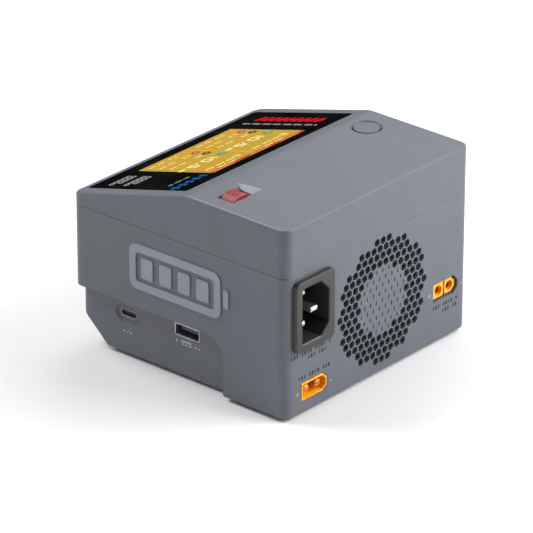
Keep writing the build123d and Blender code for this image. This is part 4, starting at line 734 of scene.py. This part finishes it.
def usb_prints():
    """Three dots under the USB-C port and a current sign under the USB-A port."""
    below_usb_c = on_step(middle(usb_c_low, usb_c_high).y, usb_c_low.z - 6.6 * mm)
    dots = [disc_outline(x, 0, 0.42) for x in (-1.9, 0, 1.9)]
    plate("usb_c_dots", dots, below_usb_c, print_faint)
    below_usb_a = on_step(middle(usb_a_low, usb_a_high).y, usb_a_low.z - row_drop * mm)
    current = [box_outline(-0.6, 0.5, 5.4, 0.6)]
    current += [box_outline(-2.6 + i * 2.0, -0.8, 1.2, 0.6) for i in range(3)]
    current += [disc_outline(x, y, dot_radius) for x, y in ((4.6, -0.4), (6.6, -0.4), (-6.0, 0))]
    plate("usb_a_current_sign", current, below_usb_a, print_faint)


def back_prints():
    """Rows of small print under the inlet and by the two rear connectors, and their poles' signs."""
    under_inlet = on_back(middle(inlet_low, inlet_high).x, inlet_low.z - 2.4 * mm)
    rows = bar_row(-0.5, 0, 15) + bar_row(3.5, -row_drop, 7)
    plate("inlet_marks", rows, under_inlet, print_dark)
    over_plug = on_back(middle(dc_in_low, dc_in_high).x, dc_in_high.z + row_drop * mm)
    plate("dc_input_marks", bar_row(0, 0, 12), over_plug, print_dark)
    under_socket = on_back(middle(dc_out_low, dc_out_high).x, dc_out_low.z - 2.8 * mm)
    rows = bar_row(0, 0, 10) + bar_row(3.0, -2.8, 6)
    plate("dc_output_marks", rows, under_socket, print_dark)
    for name, low, high in (("dc_input", dc_in_low, dc_in_high), ("dc_output", dc_out_low, dc_out_high)):
        beside = on_back(low.x - sign_reach * mm, middle(low, high).z)
        minus = [box_outline(0, -1.3, 1.7, sign_stroke)]
        plate(name + "_minus", minus, beside, print_soft)
        beside = on_back(high.x + sign_reach * mm, middle(low, high).z)
        plus = [
            box_outline(0, 0, 1.8, sign_stroke),
            box_outline(0, 0.6, sign_stroke, 0.7),
            box_outline(0, -0.6, sign_stroke, 0.7),
        ]
        plate(name + "_plus", plus, beside, print_soft)


def port_contacts():
    """The springy gold contacts on the two USB tongues."""
    tongue_y = middle(usb_a_tongue_low, usb_a_tongue_high).y
    tongue_top = face_place(Vector((usb_a_tongue_high.x, tongue_y, usb_a_tongue_high.z)), -X, Y)
    pads = [box_outline(4.4, y, 6.4, 1.1) for y in (-3.5, -1.0, 1.0, 3.5)]
    plate("usb_a_contacts", pads, tongue_top, gold, high=0.06)
    tongue_y = middle(usb_c_tongue_low, usb_c_tongue_high).y
    tongue_top = face_place(Vector((usb_c_tongue_high.x, tongue_y, usb_c_tongue_high.z)), -X, Y)
    pads = [box_outline(2.2, (i - 5.5) * 0.5, 3.0, 0.26) for i in range(12)]
    plate("usb_c_contacts", pads, tongue_top, gold, high=0.04)


usb_prints()
back_prints()
port_contacts()


# ---------------------------------------------------------------- camera, floor and light
def aimed(obj, target):
    """Turns an object's -Z towards a point."""
    obj.rotation_mode = "QUATERNION"
    obj.rotation_quaternion = (target - obj.location).to_track_quat("-Z", "Y")


def direction(azimuth, elevation):
    a, e = math.radians(azimuth), math.radians(elevation)
    return Vector((math.sin(a) * math.cos(e), -math.cos(a) * math.cos(e), math.sin(e)))


view_azimuth, view_elevation, view_roll = 130.744, 25.220, 0.056
view_distance = 1.717
view_target = Vector((2.78, -0.24, 32.93)) * mm
sensor_width = 36.0
focal_length = 276.6

camera_data = bpy.data.cameras.new("camera")
camera_data.sensor_width = sensor_width
camera_data.lens = focal_length
camera_data.clip_start, camera_data.clip_end = 0.01, 20
camera = bpy.data.objects.new("camera", camera_data)
scene.collection.objects.link(camera)
camera.location = view_target + direction(view_azimuth, view_elevation) * view_distance
aimed(camera, view_target)
camera.rotation_quaternion = camera.rotation_quaternion @ Matrix.Rotation(
    math.radians(view_roll), 3, "Z").to_quaternion()
scene.camera = camera


def softbox(name, azimuth, elevation, distance, size, power, colour=(1, 1, 1)):
    """A large square light aimed at the object."""
    data = bpy.data.lights.new(name, "AREA")
    data.size = size
    data.energy = power
    data.color = colour
    light = bpy.data.objects.new(name, data)
    scene.collection.objects.link(light)
    light.location = view_target + direction(azimuth, elevation) * distance
    aimed(light, view_target)


softbox("light_front_high", 20, 50, 1.4, 0.8, 18.5)
softbox("light_back_far", 210, 30, 1.4, 1.0, 8.4)
softbox("light_back_near", 205, 30, 0.5, 0.3, 1.3)
softbox("light_left_high", 290, 45, 1.4, 1.0, 6.9)
softbox("light_side_low", 75, 12, 1.4, 0.8, 3.4)
softbox("light_back_edge", 238, 36, 1.2, 0.6, 6.4)

world = bpy.data.worlds.new("studio")
scene.world = world
world.use_nodes = True
world.node_tree.nodes["Background"].inputs["Color"].default_value = (0.93, 0.96, 1.0, 1)
world.node_tree.nodes["Background"].inputs["Strength"].default_value = 0.06


def floor():
    """A plain pale floor, with a faint paper-like grain."""
    builder = bmesh.new()
    bmesh.ops.create_grid(builder, x_segments=8, y_segments=8, size=8.0)
    mesh = bpy.data.meshes.new("floor")
    builder.to_mesh(mesh)
    builder.free()
    obj = bpy.data.objects.new("floor", mesh)
    scene.collection.objects.link(obj)
    shader = Shader("floor_pale")
    grain = shader.noise(2 * mm, 3.0)
    shader.link(shader.ramp(grain, [(0.3, (0.86, 0.86, 0.86, 1)), (0.7, (0.88, 0.88, 0.88, 1))]),
                shader.principled.inputs["Base Color"])
    shader.principled.inputs["Roughness"].default_value = 0.9
    shader.principled.inputs["Specular IOR Level"].default_value = 0.1
    obj.data.materials.append(shader.material)


floor()
